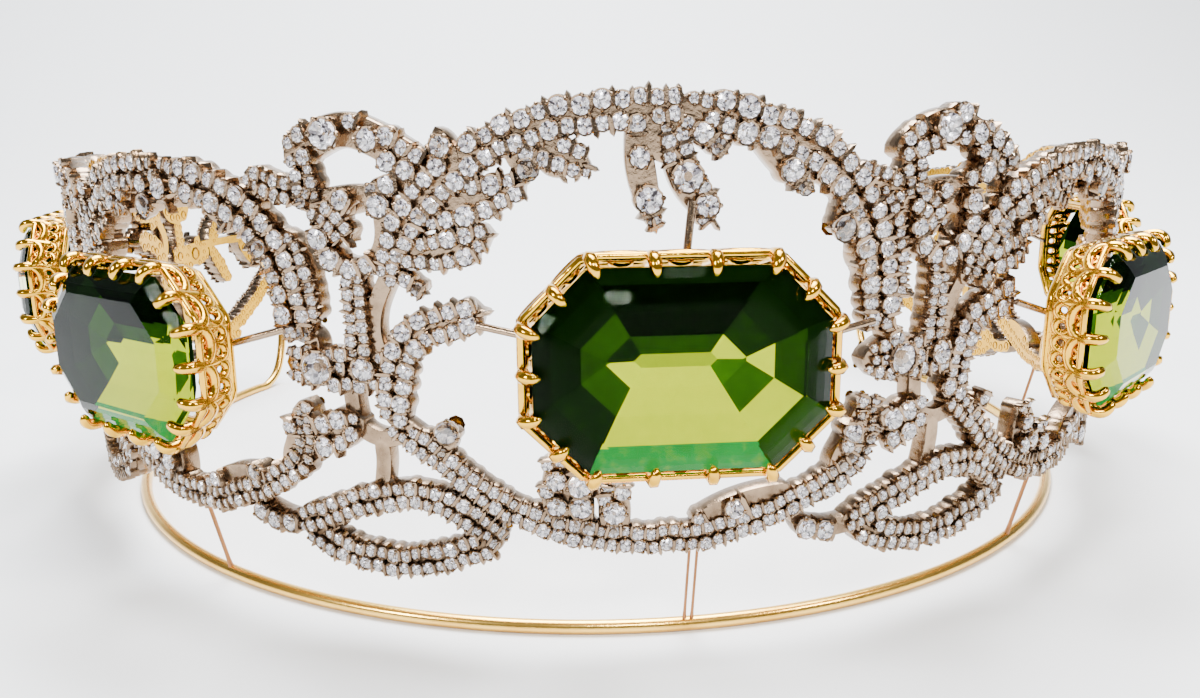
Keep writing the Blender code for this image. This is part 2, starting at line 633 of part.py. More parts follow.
def build_gallery():
    """The open gallery as a ring of blocks: two whole rails, with claws between and over them."""
    stations, levels = gallery_stations(), gallery_levels()
    columns, rows = len(stations), len(levels)
    bm = bmesh.new()
    grid = {}
    for row, (depth, *reaches) in enumerate(levels):
        for layer, reach in enumerate(reaches):
            outline = [Vector(corner) for corner in setting_outline(reach)]
            for column, (side, share) in enumerate(stations):
                point = outline[side].lerp(outline[(side + 1) % 8], share)
                grid[column, row, layer] = Vector((point.x, -depth, STONE_LINE + point.y))

    def is_solid(column, row):
        return 0 <= row < rows - 1 and (row in (0, 2) or column % 2 == 0)

    made = {}

    def corner(column, row, layer):
        key = column % columns, row, layer
        if key not in made:
            made[key] = bm.verts.new(grid[key])
        return made[key]

    def add_face(*corners):
        bm.faces.new([corner(*place) for place in corners])

    for column in range(columns):
        following = column + 1
        for row in range(rows - 1):
            if not is_solid(column, row):
                continue
            for layer in (0, 1):
                add_face((column, row, layer), (following, row, layer),
                         (following, row + 1, layer), (column, row + 1, layer))
            for next_row, edge in ((row - 1, row), (row + 1, row + 1)):
                if not is_solid(column, next_row):
                    add_face((column, edge, 0), (following, edge, 0),
                             (following, edge, 1), (column, edge, 1))
            for next_column, edge in ((column - 1, column), (column + 1, following)):
                if not is_solid(next_column, row):
                    add_face((edge, row, 0), (edge, row + 1, 0), (edge, row + 1, 1), (edge, row, 1))
    bmesh.ops.recalc_face_normals(bm, faces=bm.faces)
    return bm


def build_setting(name, wreath, collections, material):
    """The gallery of rails and claws that holds the stone, with the pins that carry it."""
    parts, cutters = collections
    bm = build_gallery()
    bmesh.ops.transform(bm, matrix=seating(wreath), verts=bm.verts)
    depth = -(setting_seat() + RAIL_HEIGHT / 2)
    pins = PINS + ((FRONT_PIN,) if wreath.place == 0 else ())
    over_band = PLATE_THICKNESS + RELIEF + 2 * GAP + PIN_DIAMETER / 2
    paths = []
    for pin in pins:
        start = Vector((pin.across * STONE_WIDTH / 2, depth, STONE_LINE + pin.up * STONE_HEIGHT / 2))
        start = seating(wreath) @ start
        along, height = sheet_x(pin.u) * wreath.spread, sheet_z(pin.z, wreath.rise)
        radius = BAND_RADIUS + BAND_LEAN * height + over_band
        paths.append(([start, polar(along / MEAN_RADIUS, radius, height)], False))
    join_into(bm, wire_mesh(paths, PIN_DIAMETER, 0))
    mesh = fuse(name, mesh_from(bm, name), make_room(name + "_room", cutters), cutters)
    obj = add_object(name, mesh, parts, material)
    mesh.transform(Matrix.Rotation(wreath.place * WREATH_PITCH, 4, "Z"))
    return obj


def build_cut_stone(name, wreath, parts, material):
    """A step-cut octagon: table, two crown steps, girdle, two pavilion steps and a keel."""
    girdle = -(setting_seat() + SETTING_DEPTH)
    bm = bmesh.new()
    rings = []
    for cut in STEP_CUTS:
        less = STONE_HEIGHT * cut.shrink
        corner = STONE_CORNER * (1 - cut.shrink * CORNER_SHRINK)
        depth = girdle - cut.girdle * GIRDLE_HEIGHT - cut.crown * CROWN_HEIGHT + cut.pavilion * PAVILION_DEPTH
        rings.append([bm.verts.new((x, depth, STONE_LINE + z))
                      for x, z in octagon(STONE_WIDTH - less, STONE_HEIGHT - less, corner)])
    for ring, following in zip(rings, rings[1:]):
        for index in range(8):
            bm.faces.new((ring[index], ring[index - 1], following[index - 1], following[index]))
    bm.faces.new(rings[0])
    bm.faces.new(rings[-1])
    bmesh.ops.recalc_face_normals(bm, faces=bm.faces)
    mesh = mesh_from(bm, name)
    mesh.transform(Matrix.Rotation(wreath.place * WREATH_PITCH, 4, "Z") @ seating(wreath))
    return add_object(name, mesh, parts, material)


def build_diamond(name, stone, middle, spread, rise, parts, material):
    """A round stone with a table, eight crown facets and a flat back, in front of its strip."""
    radius = LIMB_WIDTH * stone.share / 2
    height = sheet_z(stone.z, rise)
    front = BAND_RADIUS + BAND_LEAN * height + PLATE_THICKNESS + RELIEF + GAP
    angles = [math.pi * (index + 0.5) / 4 for index in range(8)]
    bm = bmesh.new()
    rings = []
    for share, out in ROUND_CUTS:
        rings.append([bm.verts.new((radius * share * math.cos(angle), -out * DIAMOND_HEIGHT,
                                    radius * share * math.sin(angle))) for angle in angles])
    for ring, following in zip(rings, rings[1:]):
        for index in range(8):
            bm.faces.new((ring[index - 1], ring[index], following[index], following[index - 1]))
    bm.faces.new(rings[0])
    bm.faces.new(rings[-1])
    bmesh.ops.recalc_face_normals(bm, faces=bm.faces)
    mesh = mesh_from(bm, name)
    azimuth = (middle + sheet_x(stone.u) * spread) / MEAN_RADIUS
    mesh.transform(Matrix.Translation((0, -front, height)))
    mesh.transform(Matrix.Rotation(azimuth, 4, "Z"))
    return add_object(name, mesh, parts, material)


def centre_on_box(objects):
    """Moves the meshes so that the middle of their box lies over the origin."""
    points = [vertex.co for obj in objects for vertex in obj.data.vertices]
    low = min(point.y for point in points)
    high = max(point.y for point in points)
    left = min(point.x for point in points)
    right = max(point.x for point in points)
    for obj in objects:
        obj.data.transform(Matrix.Translation((-(left + right) / 2, -(low + high) / 2, 0)))


def main():
    clear_scene()
    parts = make_collection("tiara")
    cutters = make_collection("cutters")
    collections = (parts, cutters)
    silver = make_material("tarnished_silver", (0.52, 0.48, 0.42), 0.32, 1.0)
    gold = make_material("yellow_gold", (0.78, 0.50, 0.13), 0.24, 1.0)
    pale_gold = make_material("pale_gold_wire", (0.80, 0.58, 0.26), 0.30, 1.0)
    peridot = make_material("peridot", (0.42, 0.55, 0.02), 0.05, 0.0)
    diamond = make_material("diamond", (0.86, 0.88, 0.92), 0.03, 0.0)
    objects = [build_base_frame(collections, pale_gold)]
    for wreath in WREATHS:
        objects.append(build_wreath(wreath, collections, silver))
        suffix = wreath.name.removeprefix("wreath_")
        objects.append(build_setting("setting_" + suffix, wreath, collections, gold))
        objects.append(build_cut_stone("peridot_" + suffix, wreath, parts, peridot))
    for stone in FRONT_DIAMONDS:
        objects.append(build_diamond(stone.name, stone, 0.0, 1.0, FRONT_RISE, parts, diamond))
    for knot in KNOTS:
        obj, middle = build_knot(knot, collections, silver)
        objects.append(obj)
        for stone in KNOT_DIAMONDS:
            objects.append(build_diamond(f"{stone.name}_{knot.name}", stone, middle, 1.0, knot.rise,
                                         parts, diamond))
    centre_on_box(objects)


main()
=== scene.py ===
"""A tiara of open diamond scrollwork that carries five large peridots, on a gold base wire.

The scrollwork is drawn flat on a sheet, as strips of metal set with small diamonds, and then
bent round the band's cone. Sizes are in metres. Places on the sheet are in the sheet's units.
"""

import json
import logging
import math
from dataclasses import dataclass, field
from enum import Enum
from typing import Any, Iterator, Sequence

import bmesh
import bpy
import numpy as np
from mathutils import Matrix, Vector

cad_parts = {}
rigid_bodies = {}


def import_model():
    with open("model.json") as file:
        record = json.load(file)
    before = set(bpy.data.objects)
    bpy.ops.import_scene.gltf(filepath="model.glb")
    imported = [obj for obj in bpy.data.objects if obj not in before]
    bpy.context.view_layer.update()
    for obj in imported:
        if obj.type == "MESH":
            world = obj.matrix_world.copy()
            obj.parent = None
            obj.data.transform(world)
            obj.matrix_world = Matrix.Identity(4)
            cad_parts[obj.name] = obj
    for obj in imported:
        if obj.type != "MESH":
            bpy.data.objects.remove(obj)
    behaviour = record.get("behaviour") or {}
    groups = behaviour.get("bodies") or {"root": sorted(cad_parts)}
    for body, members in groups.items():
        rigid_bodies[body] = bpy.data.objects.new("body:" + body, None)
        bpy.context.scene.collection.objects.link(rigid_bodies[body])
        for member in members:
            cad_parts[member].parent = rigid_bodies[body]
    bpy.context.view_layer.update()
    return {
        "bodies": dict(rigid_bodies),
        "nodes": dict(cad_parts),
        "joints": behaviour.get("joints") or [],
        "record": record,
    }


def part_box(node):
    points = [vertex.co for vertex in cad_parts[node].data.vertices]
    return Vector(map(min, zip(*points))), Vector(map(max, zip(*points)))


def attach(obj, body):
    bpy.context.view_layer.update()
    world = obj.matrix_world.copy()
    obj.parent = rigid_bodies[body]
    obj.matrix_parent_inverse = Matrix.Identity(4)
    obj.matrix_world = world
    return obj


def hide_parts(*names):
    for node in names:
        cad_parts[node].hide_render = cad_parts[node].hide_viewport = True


LOG = logging.getLogger("tiara")

Place = tuple[float, float]


# The band and the sheet

@dataclass(frozen=True)
class Band:
    """The cone that the sheet of scrollwork is bent round, and the sheet's own sizes."""

    centre_y: float
    radius: float = 0.0764
    lean: float = 0.04
    thickness: float = 0.0018
    relief: float = 0.0005
    pitch: float = math.radians(41.0)
    reach: float = math.radians(127.0)
    stone_line: float = 0.0325
    drop: float = 0.0215
    sheet_pitch: float = 57.2
    sheet_line: float = 32.5
    sheet_top: float = 57.7
    sheet_foot: float = 11.0

    @property
    def mean_radius(self) -> float:
        """Radius at which the sheet keeps its length."""
        return self.radius + self.lean * self.stone_line + self.thickness

    def along(self, u: float) -> float:
        """Distance along the band for a distance on the sheet."""
        return u / self.sheet_pitch * self.pitch * self.mean_radius

    def height(self, z: float, rise: float) -> float:
        """Height for a height on the sheet, in a section that rises this far over the stones."""
        if z >= self.sheet_line:
            return self.stone_line + (z - self.sheet_line) / (self.sheet_top - self.sheet_line) * rise
        return self.stone_line + (z - self.sheet_line) / (self.sheet_line - self.sheet_foot) * self.drop

    def wrap(self, flat: np.ndarray) -> np.ndarray:
        """Bends points round the cone.

        Args:
            flat: one row for each point: distance along the band, distance out, height.

        Returns:
            The points in the frame's own coordinates.
        """
        angle = flat[:, 0] / self.mean_radius
        radius = self.radius + self.lean * flat[:, 2] + flat[:, 1]
        return np.stack([radius * np.sin(angle), self.centre_y - radius * np.cos(angle), flat[:, 2]], axis=1)

    def polar(self, azimuth: float, radius: float, height: float) -> Vector:
        """A point at an azimuth from the front, round the head's axis."""
        return Vector((radius * math.sin(azimuth), self.centre_y - radius * math.cos(azimuth), height))


class Kind(Enum):
    """The kinds of strip that the scrollwork is made of."""

    LIMB = "limb"
    BRANCH = "branch"
    LEAF = "leaf"
    STEM = "stem"


@dataclass(frozen=True)
class Gauge:
    """Sizes of one kind of strip: its width, its share of the relief, and the widest of its rows."""

    width: float
    relief: float
    row: float


GAUGES = {
    Kind.LIMB: Gauge(0.0040, 0.55, 0.00175),
    Kind.BRANCH: Gauge(0.0030, 0.35, 0.0017),
    Kind.LEAF: Gauge(0.0032, 0.80, 0.0021),
    Kind.STEM: Gauge(0.0017, 0.10, 1.0),
}


@dataclass(frozen=True)
class Strip:
    """A strip of metal: share of its kind's width, shares left at its ends, and centre line."""

    kind: Kind
    share: float
    start: float
    end: float
    line: tuple[Place, ...]

    def width(self, share: float) -> float:
        """The strip's width at a share of its length: full in the middle, less at its ends."""
        full = GAUGES[self.kind].width * self.share
        if self.kind is Kind.LEAF:
            swell = math.sin(math.pi * min(1.0, max(0.0, share))) ** 0.6
            rest = self.start + (self.end - self.start) * share
            return full * (rest * (1 - swell) + swell)
        ends = min(share / 0.15, (1 - share) / 0.15, 1.0)
        side = self.start if share < 0.5 else self.end
        return full * (side + (1 - side) * ends)


@dataclass(frozen=True)
class LooseStone:
    """A larger diamond that is set before the pave round it: its place and its diameter."""

    u: float
    z: float
    diameter: float
    node: str = ""


LIMB, BRANCH, LEAF, STEM = Kind.LIMB, Kind.BRANCH, Kind.LEAF, Kind.STEM

# Columns: kind, share of its width, shares left at the start and the end, centre line
WREATH_STRIPS = (
    # left limb of the arch, up to the top, and the right limb down from it
    Strip(LIMB, 0.90, 0.6, 0.9, ((-28.2, 39.0), (-26.6, 43.4), (-23.9, 47.3), (-20.5, 50.4), (-16.5, 53.0),
                                 (-12.0, 54.6), (-7.5, 55.5), (0.6, 56.1))),
    Strip(LIMB, 1.05, 0.6, 0.7, ((0.2, 56.2), (5.0, 55.3), (9.0, 54.1), (12.8, 52.6), (16.4, 50.0),
                                 (19.2, 46.6), (21.0, 42.2), (21.9, 37.6), (22.4, 33.4))),
    Strip(BRANCH, 0.90, 0.6, 0.6, ((20.6, 48.6), (23.0, 44.4), (24.0, 39.6), (23.8, 35.4))),
    # plain stem that joins the arch to the branch
    Strip(STEM, 1.20, 1.0, 1.0, ((-28.0, 29.6), (-29.7, 33.0), (-29.6, 36.4), (-27.6, 40.6))),
    # leaves inside the left limb
    Strip(LEAF, 1.10, 0.5, 0.05, ((-26.6, 42.0), (-22.0, 42.6), (-17.0, 44.2))),
    Strip(LEAF, 1.25, 0.5, 0.05, ((-24.6, 45.8), (-19.5, 47.2), (-13.6, 49.2))),
    Strip(LEAF, 0.60, 0.6, 0.10, ((-27.6, 40.6), (-25.8, 39.6), (-24.0, 38.7))),
    # leaves under the arch
    Strip(LEAF, 1.10, 0.6, 0.05, ((-17.2, 52.9), (-12.0, 52.3), (-7.4, 50.5))),
    Strip(LEAF, 0.75, 0.6, 0.05, ((-15.4, 52.4), (-13.0, 50.2))),
    Strip(LEAF, 0.80, 0.6, 0.05, ((-12.6, 52.6), (-10.1, 49.6))),
    # leaf that stands up on the arch
    Strip(LEAF, 0.85, 0.6, 0.20, ((-20.4, 49.8), (-21.9, 54.4))),
    # leaves inside the right limb
    Strip(LEAF, 0.85, 0.6, 0.05, ((7.6, 54.0), (10.2, 51.4), (12.9, 48.5))),
    Strip(LEAF, 0.85, 0.6, 0.05, ((18.2, 47.8), (17.1, 44.0))),
    Strip(LEAF, 0.85, 0.6, 0.05, ((20.4, 43.6), (19.6, 39.9))),
    # branch whose leaf meets the left pin
    Strip(BRANCH, 1.20, 0.9, 0.10, ((-28.2, 24.2), (-27.6, 30.0), (-26.0, 33.4), (-22.4, 35.4),
                                    (-17.8, 36.6))),
    # swag
    Strip(BRANCH, 0.95, 0.9, 0.7, ((-28.6, 25.0), (-24.3, 22.0), (-20.0, 18.6), (-16.0, 16.0),
                                   (-10.0, 13.7), (-4.0, 12.8), (0.0, 12.8), (4.0, 12.9), (8.0, 13.9),
                                   (14.0, 15.9), (18.0, 17.8), (21.2, 20.4), (21.8, 25.4))),
    Strip(LEAF, 0.85, 0.3, 0.30, ((2.4, 14.4), (7.6, 16.1), (13.4, 17.4))),
    Strip(LEAF, 0.75, 0.6, 0.20, ((-23.4, 21.2), (-22.2, 24.6))),
    Strip(LEAF, 1.30, 0.6, 0.40, ((18.0, 18.2), (20.7, 21.8), (21.9, 26.4))),
    # sprigs that stand on the swag
    Strip(LEAF, 1.10, 0.6, 0.20, ((-11.4, 13.6), (-11.4, 22.0))),
    Strip(LEAF, 0.85, 0.6, 0.20, ((-8.6, 13.4), (-9.1, 20.8))),
    Strip(LEAF, 1.15, 0.6, 0.20, ((-5.5, 12.8), (-5.5, 18.8))),
)
FRONT_BUNCH = (
    Strip(LEAF, 0.95, 0.6, 0.05, ((-3.4, 55.6), (-3.0, 50.6), (-1.7, 44.9))),
    Strip(LEAF, 1.10, 0.7, 0.05, ((-0.2, 55.0), (1.2, 49.8), (4.1, 45.0))),
    Strip(LEAF, 0.75, 0.6, 0.05, ((0.6, 55.2), (4.6, 52.0))),
    Strip(LEAF, 0.95, 0.8, 0.30, ((-1.5, 55.4), (-1.1, 50.9))),
)
SIDE_BUNCH = (
    Strip(LEAF, 0.95, 0.6, 0.05, ((-3.0, 55.6), (-2.0, 50.6))),
    Strip(LEAF, 0.95, 0.6, 0.05, ((1.0, 55.4), (3.0, 50.8))),
)
# The knot, with u from the middle of the knot
KNOT_STRIPS = (
    # bow
    Strip(BRANCH, 1.25, 0.7, 0.8, ((-6.4, 52.0), (-3.8, 53.4), (-1.2, 54.6), (1.2, 54.8), (3.6, 53.9),
                                   (6.2, 52.4), (9.0, 50.6))),
    Strip(BRANCH, 0.85, 0.9, 0.9, ((-4.6, 53.8), (-3.9, 47.6))),
    Strip(BRANCH, 0.90, 0.8, 0.10, ((-11.6, 50.6), (-6.8, 48.8), (-2.8, 47.0), (0.4, 43.6))),
    Strip(BRANCH, 0.80, 0.6, 0.7, ((2.4, 48.6), (5.6, 49.7), (9.6, 51.0))),
    Strip(STEM, 1.10, 1.0, 1.0, ((-3.4, 47.9), (0.2, 48.6), (3.6, 48.5))),
    Strip(LEAF, 0.80, 0.7, 0.50, ((-1.0, 48.8), (1.3, 46.6))),
    # loop under the bow
    Strip(BRANCH, 0.75, 1.0, 1.0, ((-3.1, 47.4), (-2.9, 43.6), (-1.4, 41.6), (0.6, 41.0), (2.8, 41.9),
                                   (3.9, 44.4), (3.7, 48.9))),
    Strip(BRANCH, 0.85, 0.9, 0.9, ((0.4, 41.4), (0.3, 31.0))),
    # flower cluster
    Strip(LIMB, 1.15, 0.6, 0.6, ((-8.6, 30.4), (-3.8, 30.2), (3.4, 30.4))),
    Strip(LEAF, 0.70, 0.6, 0.10, ((-4.6, 31.4), (-5.8, 34.4))),
    # plain stems down to the oval
    Strip(STEM, 1.25, 1.0, 1.0, ((-1.4, 29.4), (-0.8, 24.4), (1.8, 22.8), (5.4, 23.6))),
    Strip(STEM, 1.25, 1.0, 1.0, ((1.8, 23.0), (1.9, 20.0), (1.0, 15.0))),
    Strip(LEAF, 1.40, 0.5, 0.50, ((0.2, 24.8), (-2.8, 23.4), (-5.6, 22.2))),
    # oval scroll, and the strip that carries the swag on
    Strip(BRANCH, 1.00, 0.8, 0.8, ((-9.6, 12.2), (-4.8, 14.0), (-0.8, 15.6), (4.4, 17.0), (9.2, 16.2),
                                   (14.6, 12.6))),
    Strip(BRANCH, 1.00, 0.8, 0.8, ((-9.0, 12.2), (-6.3, 11.0), (-2.8, 9.8), (1.2, 9.3), (4.2, 9.3),
                                   (7.2, 9.9), (11.2, 11.2), (14.8, 12.8))),
    Strip(BRANCH, 0.80, 0.8, 0.8, ((-15.6, 13.0), (-11.4, 12.0), (-7.6, 12.2))),
)
# The scroll behind the last knot: here u is a share of the scroll's length from the knot
TAIL_STRIPS = (
    Strip(LIMB, 0.80, 0.8, 0.4, ((0.10, 50.0), (0.35, 50.0), (0.56, 46.6), (0.76, 41.2), (0.90, 35.8),
                                 (0.98, 30.6))),
    Strip(BRANCH, 0.95, 0.8, 0.5, ((0.05, 16.0), (0.30, 13.6), (0.50, 15.4), (0.70, 19.6), (0.88, 25.4),
                                   (0.98, 31.6))),
    Strip(STEM, 1.00, 1.0, 1.0, ((0.02, 31.6), (0.50, 31.7), (0.98, 31.0))),
    Strip(LEAF, 1.00, 0.3, 0.05, ((0.28, 31.5), (0.44, 39.6))),
    Strip(LEAF, 1.00, 0.3, 0.05, ((0.28, 31.6), (0.44, 23.6))),
    Strip(LEAF, 0.90, 0.3, 0.05, ((0.55, 31.5), (0.69, 37.6))),
    Strip(LEAF, 0.90, 0.3, 0.05, ((0.56, 31.6), (0.70, 25.6))),
)
# The outermost places of a wreath's two seams, and a knot's middle beyond the right one
SEAM_LEFT, SEAM_RIGHT, KNOT_OFFSET = -31.8, 25.5, 3.9

FRONT_STONES = (LooseStone(1.3, 49.6, 0.0028, "front_bunch_diamond"), LooseStone(3.2, 46.9, 0.0022),
                LooseStone(-3.1, 51.4, 0.0019))
WREATH_STONES = (LooseStone(-11.4, 19.4, 0.0020), LooseStone(-11.4, 16.6, 0.0020),
                 LooseStone(-5.6, 15.9, 0.0023), LooseStone(-21.4, 52.6, 0.0020))
KNOT_STONES = (LooseStone(-1.0, 54.5, 0.0029, "bow_diamond"),
               LooseStone(-4.2, 30.3, 0.0033, "flower_diamond"),
               LooseStone(1.0, 30.4, 0.0024), LooseStone(3.4, 53.9, 0.0022))


# Curves on the sheet and in space

def smooth_line(points: np.ndarray, step: float, closed: bool = False) -> np.ndarray:
    """Evenly spaced points on a smooth curve through the given ones.

    Args:
        points: one row for each point, in two or three dimensions.
        step: about how far apart the new points lie.
        closed: whether the curve runs on from its last point to its first.

    Returns:
        The new points, one row each.
    """
    points = np.asarray(points, dtype=float)
    if closed:
        padded = np.vstack([points[-1:], points, points[:2]])
    else:
        padded = np.vstack([2 * points[0] - points[1], points, 2 * points[-1] - points[-2]])
    dense = [padded[1:2]]
    share = np.linspace(0, 1, 17)[1:, None]
    for before, start, end, after in zip(padded, padded[1:], padded[2:], padded[3:]):
        dense.append(0.5 * (2 * start + (end - before) * share
                            + (2 * before - 5 * start + 4 * end - after) * share ** 2
                            + (3 * start - before - 3 * end + after) * share ** 3))
    line = np.vstack(dense)
    lengths = np.concatenate([[0], np.cumsum(np.linalg.norm(np.diff(line, axis=0), axis=1))])
    count = max(3, round(lengths[-1] / step) + 1)
    places = np.linspace(0, lengths[-1], count)
    smooth = np.stack([np.interp(places, lengths, line[:, axis]) for axis in range(points.shape[1])], axis=1)
    return smooth[:-1] if closed else smooth


def mesh_object(name: str, points: Sequence, faces: Sequence, materials: Sequence = (),
                slots: Sequence[int] | None = None, edges: Sequence = ()) -> bpy.types.Object:
    """Makes a mesh object at the origin.

    Args:
        name: the piece's name.
        points: corner places in the frame's coordinates.
        faces: corner numbers of each face.
        materials: the piece's materials.
        slots: for each face, which of them it takes.
        edges: loose edges, for a path.

    Returns:
        The object, linked to the scene.
    """
    mesh = bpy.data.meshes.new(name)
    mesh.from_pydata([tuple(map(float, point)) for point in points], list(edges), list(faces))
    for material in materials:
        mesh.materials.append(material)
    if slots is not None:
        mesh.polygons.foreach_set("material_index", list(slots))
    mesh.update()
    piece = bpy.data.objects.new(name, mesh)
    bpy.context.scene.collection.objects.link(piece)
    return piece


def face_outwards(piece: bpy.types.Object) -> None:
    """Turns the faces of a piece's closed bodies outwards."""
    work = bmesh.new()
    work.from_mesh(piece.data)
    bmesh.ops.recalc_face_normals(work, faces=work.faces)
    work.to_mesh(piece.data)
    work.free()


def smooth_by_angle(piece: bpy.types.Object, degrees: float) -> None:
    """Shades the piece smooth, with edges sharper than an angle kept crisp."""
    piece.data.polygons.foreach_set("use_smooth", [True] * len(piece.data.polygons))
    work = bmesh.new()
    work.from_mesh(piece.data)
    for edge in work.edges:
        edge.smooth = len(edge.link_faces) == 2 and edge.calc_face_angle(math.pi) < math.radians(degrees)
    work.to_mesh(piece.data)
    work.free()


# Node trees

def add_node(tree: bpy.types.NodeTree, kind: str, inputs: dict[Any, Any] | None = None,
             **settings: Any) -> bpy.types.Node:
    """Adds a node with its settings and its links.

    Args:
        tree: the tree that it goes into.
        kind: Blender's name for the kind of node.
        inputs: for an input's name or number, the value it holds or the output that feeds it.
        settings: the node's own properties.

    Returns:
        The node.
    """
    node = tree.nodes.new(kind)
    for name, value in settings.items():
        setattr(node, name, value)
    for key, value in (inputs or {}).items():
        if isinstance(value, bpy.types.NodeSocket):
            tree.links.new(value, node.inputs[key])
        else:
            node.inputs[key].default_value = value
    return node


class Repeater:
    """Base of the Geometry Nodes trees: named inputs in, one plain mesh out."""

    title = "repeater"
    inputs: tuple[tuple[str, str], ...] = ()

    def __init__(self) -> None:
        """Builds the tree once, with its inputs in the order of the table."""
        self.tree = bpy.data.node_groups.new(self.title, "GeometryNodeTree")
        self.tree.interface.new_socket("Geometry", in_out="INPUT", socket_type="NodeSocketGeometry")
        for name, kind in self.inputs:
            self.tree.interface.new_socket(name, in_out="INPUT", socket_type=kind)
        self.tree.interface.new_socket("Geometry", in_out="OUTPUT", socket_type="NodeSocketGeometry")
        source = self.tree.nodes.new("NodeGroupInput")
        made = self.build(source)
        add_node(self.tree, "NodeGroupOutput", {0: made})

    def build(self, source: bpy.types.Node) -> bpy.types.NodeSocket:
        """Adds the nodes between the group's input and its output, and returns the last output."""
        raise NotImplementedError

    def apply(self, name: str, carrier: bpy.types.Object, values: dict[str, Any]) -> bpy.types.Object:
        """Runs the tree on a carrier mesh and keeps the result as a plain mesh.

        Args:
            name: the new piece's name.
            carrier: the points or paths that the tree works on, left as they are.
            values: a value for each named input.

        Returns:
            The new piece, without a modifier.
        """
        modifier = carrier.modifiers.new(self.title, "NODES")
        modifier.node_group = self.tree
        for item in self.tree.interface.items_tree:
            if item.in_out == "INPUT" and item.name in values:
                modifier[item.identifier] = values[item.name]
        graph = bpy.context.evaluated_depsgraph_get()
        graph.update()
        mesh = bpy.data.meshes.new_from_object(carrier.evaluated_get(graph))
        carrier.modifiers.remove(modifier)
        mesh.name = name
        piece = bpy.data.objects.new(name, mesh)
        bpy.context.scene.collection.objects.link(piece)
        return piece


class SetOnPoints(Repeater):
    """Sets one small shape on every point, turned and sized by the points' own attributes."""

    title = "set_on_points"
    inputs = (("Shape", "NodeSocketObject"), ("Size Factor", "NodeSocketFloat"), ("Tilt", "NodeSocketFloat"),
              ("Spin", "NodeSocketFloat"), ("Seed", "NodeSocketInt"), ("Material", "NodeSocketMaterial"))

    def build(self, source: bpy.types.Node) -> bpy.types.NodeSocket:
        """Points to instances, instances to a real mesh."""
        tree = self.tree
        shape = add_node(tree, "GeometryNodeObjectInfo", {"Object": source.outputs["Shape"]})
        facing = add_node(tree, "GeometryNodeInputNamedAttribute", {"Name": "facing"},
                          data_type="FLOAT_VECTOR")
        size = add_node(tree, "GeometryNodeInputNamedAttribute", {"Name": "size"}, data_type="FLOAT")
        turn = add_node(tree, "FunctionNodeEulerToRotation", {0: facing.outputs[0]})
        lowest = add_node(tree, "ShaderNodeMath", {0: source.outputs["Tilt"], 1: -1.0}, operation="MULTIPLY")
        low = add_node(tree, "ShaderNodeCombineXYZ", {0: lowest.outputs[0], 1: lowest.outputs[0], 2: 0.0})
        high = add_node(tree, "ShaderNodeCombineXYZ",
                        {0: source.outputs["Tilt"], 1: source.outputs["Tilt"], 2: source.outputs["Spin"]})
        lean = add_node(tree, "FunctionNodeRandomValue",
                        {0: low.outputs[0], 1: high.outputs[0], 8: source.outputs["Seed"]},
                        data_type="FLOAT_VECTOR")
        spin = add_node(tree, "FunctionNodeEulerToRotation", {0: lean.outputs[0]})
        turned = add_node(tree, "FunctionNodeRotateRotation", {0: turn.outputs[0], 1: spin.outputs[0]},
                          rotation_space="LOCAL")
        scale = add_node(tree, "ShaderNodeMath", {0: size.outputs[0], 1: source.outputs["Size Factor"]},
                         operation="MULTIPLY")
        placed = add_node(tree, "GeometryNodeInstanceOnPoints",
                          {"Points": source.outputs["Geometry"], "Instance": shape.outputs["Geometry"],
                           "Rotation": turned.outputs[0], "Scale": scale.outputs[0]})
        real = add_node(tree, "GeometryNodeRealizeInstances", {0: placed.outputs[0]})
        dressed = add_node(tree, "GeometryNodeSetMaterial",
                           {"Geometry": real.outputs[0], "Material": source.outputs["Material"]})
        return dressed.outputs[0]


class WireAlongPath(Repeater):
    """Draws round wire along paths, as thick as the points' attribute says."""

    title = "wire_along_path"
    inputs = (("Sides", "NodeSocketInt"), ("Gauge Factor", "NodeSocketFloat"),
              ("Material", "NodeSocketMaterial"))

    def build(self, source: bpy.types.Node) -> bpy.types.NodeSocket:
        """Paths to curves, curves to a closed mesh."""
        tree = self.tree
        gauge = add_node(tree, "GeometryNodeInputNamedAttribute", {"Name": "gauge"}, data_type="FLOAT")
        curve = add_node(tree, "GeometryNodeMeshToCurve", {0: source.outputs["Geometry"]})
        ring = add_node(tree, "GeometryNodeCurvePrimitiveCircle",
                        {"Resolution": source.outputs["Sides"], "Radius": 1.0}, mode="RADIUS")
        scale = add_node(tree, "ShaderNodeMath", {0: gauge.outputs[0], 1: source.outputs["Gauge Factor"]},
                         operation="MULTIPLY")
        drawn = add_node(tree, "GeometryNodeCurveToMesh",
                         {"Curve": curve.outputs[0], "Profile Curve": ring.outputs[0],
                          "Scale": scale.outputs[0], "Fill Caps": True})
        real = add_node(tree, "GeometryNodeRealizeInstances", {0: drawn.outputs[0]})
        soft = add_node(tree, "GeometryNodeSetShadeSmooth", {"Geometry": real.outputs[0]})
        dressed = add_node(tree, "GeometryNodeSetMaterial",
                           {"Geometry": soft.outputs[0], "Material": source.outputs["Material"]})
        return dressed.outputs[0]


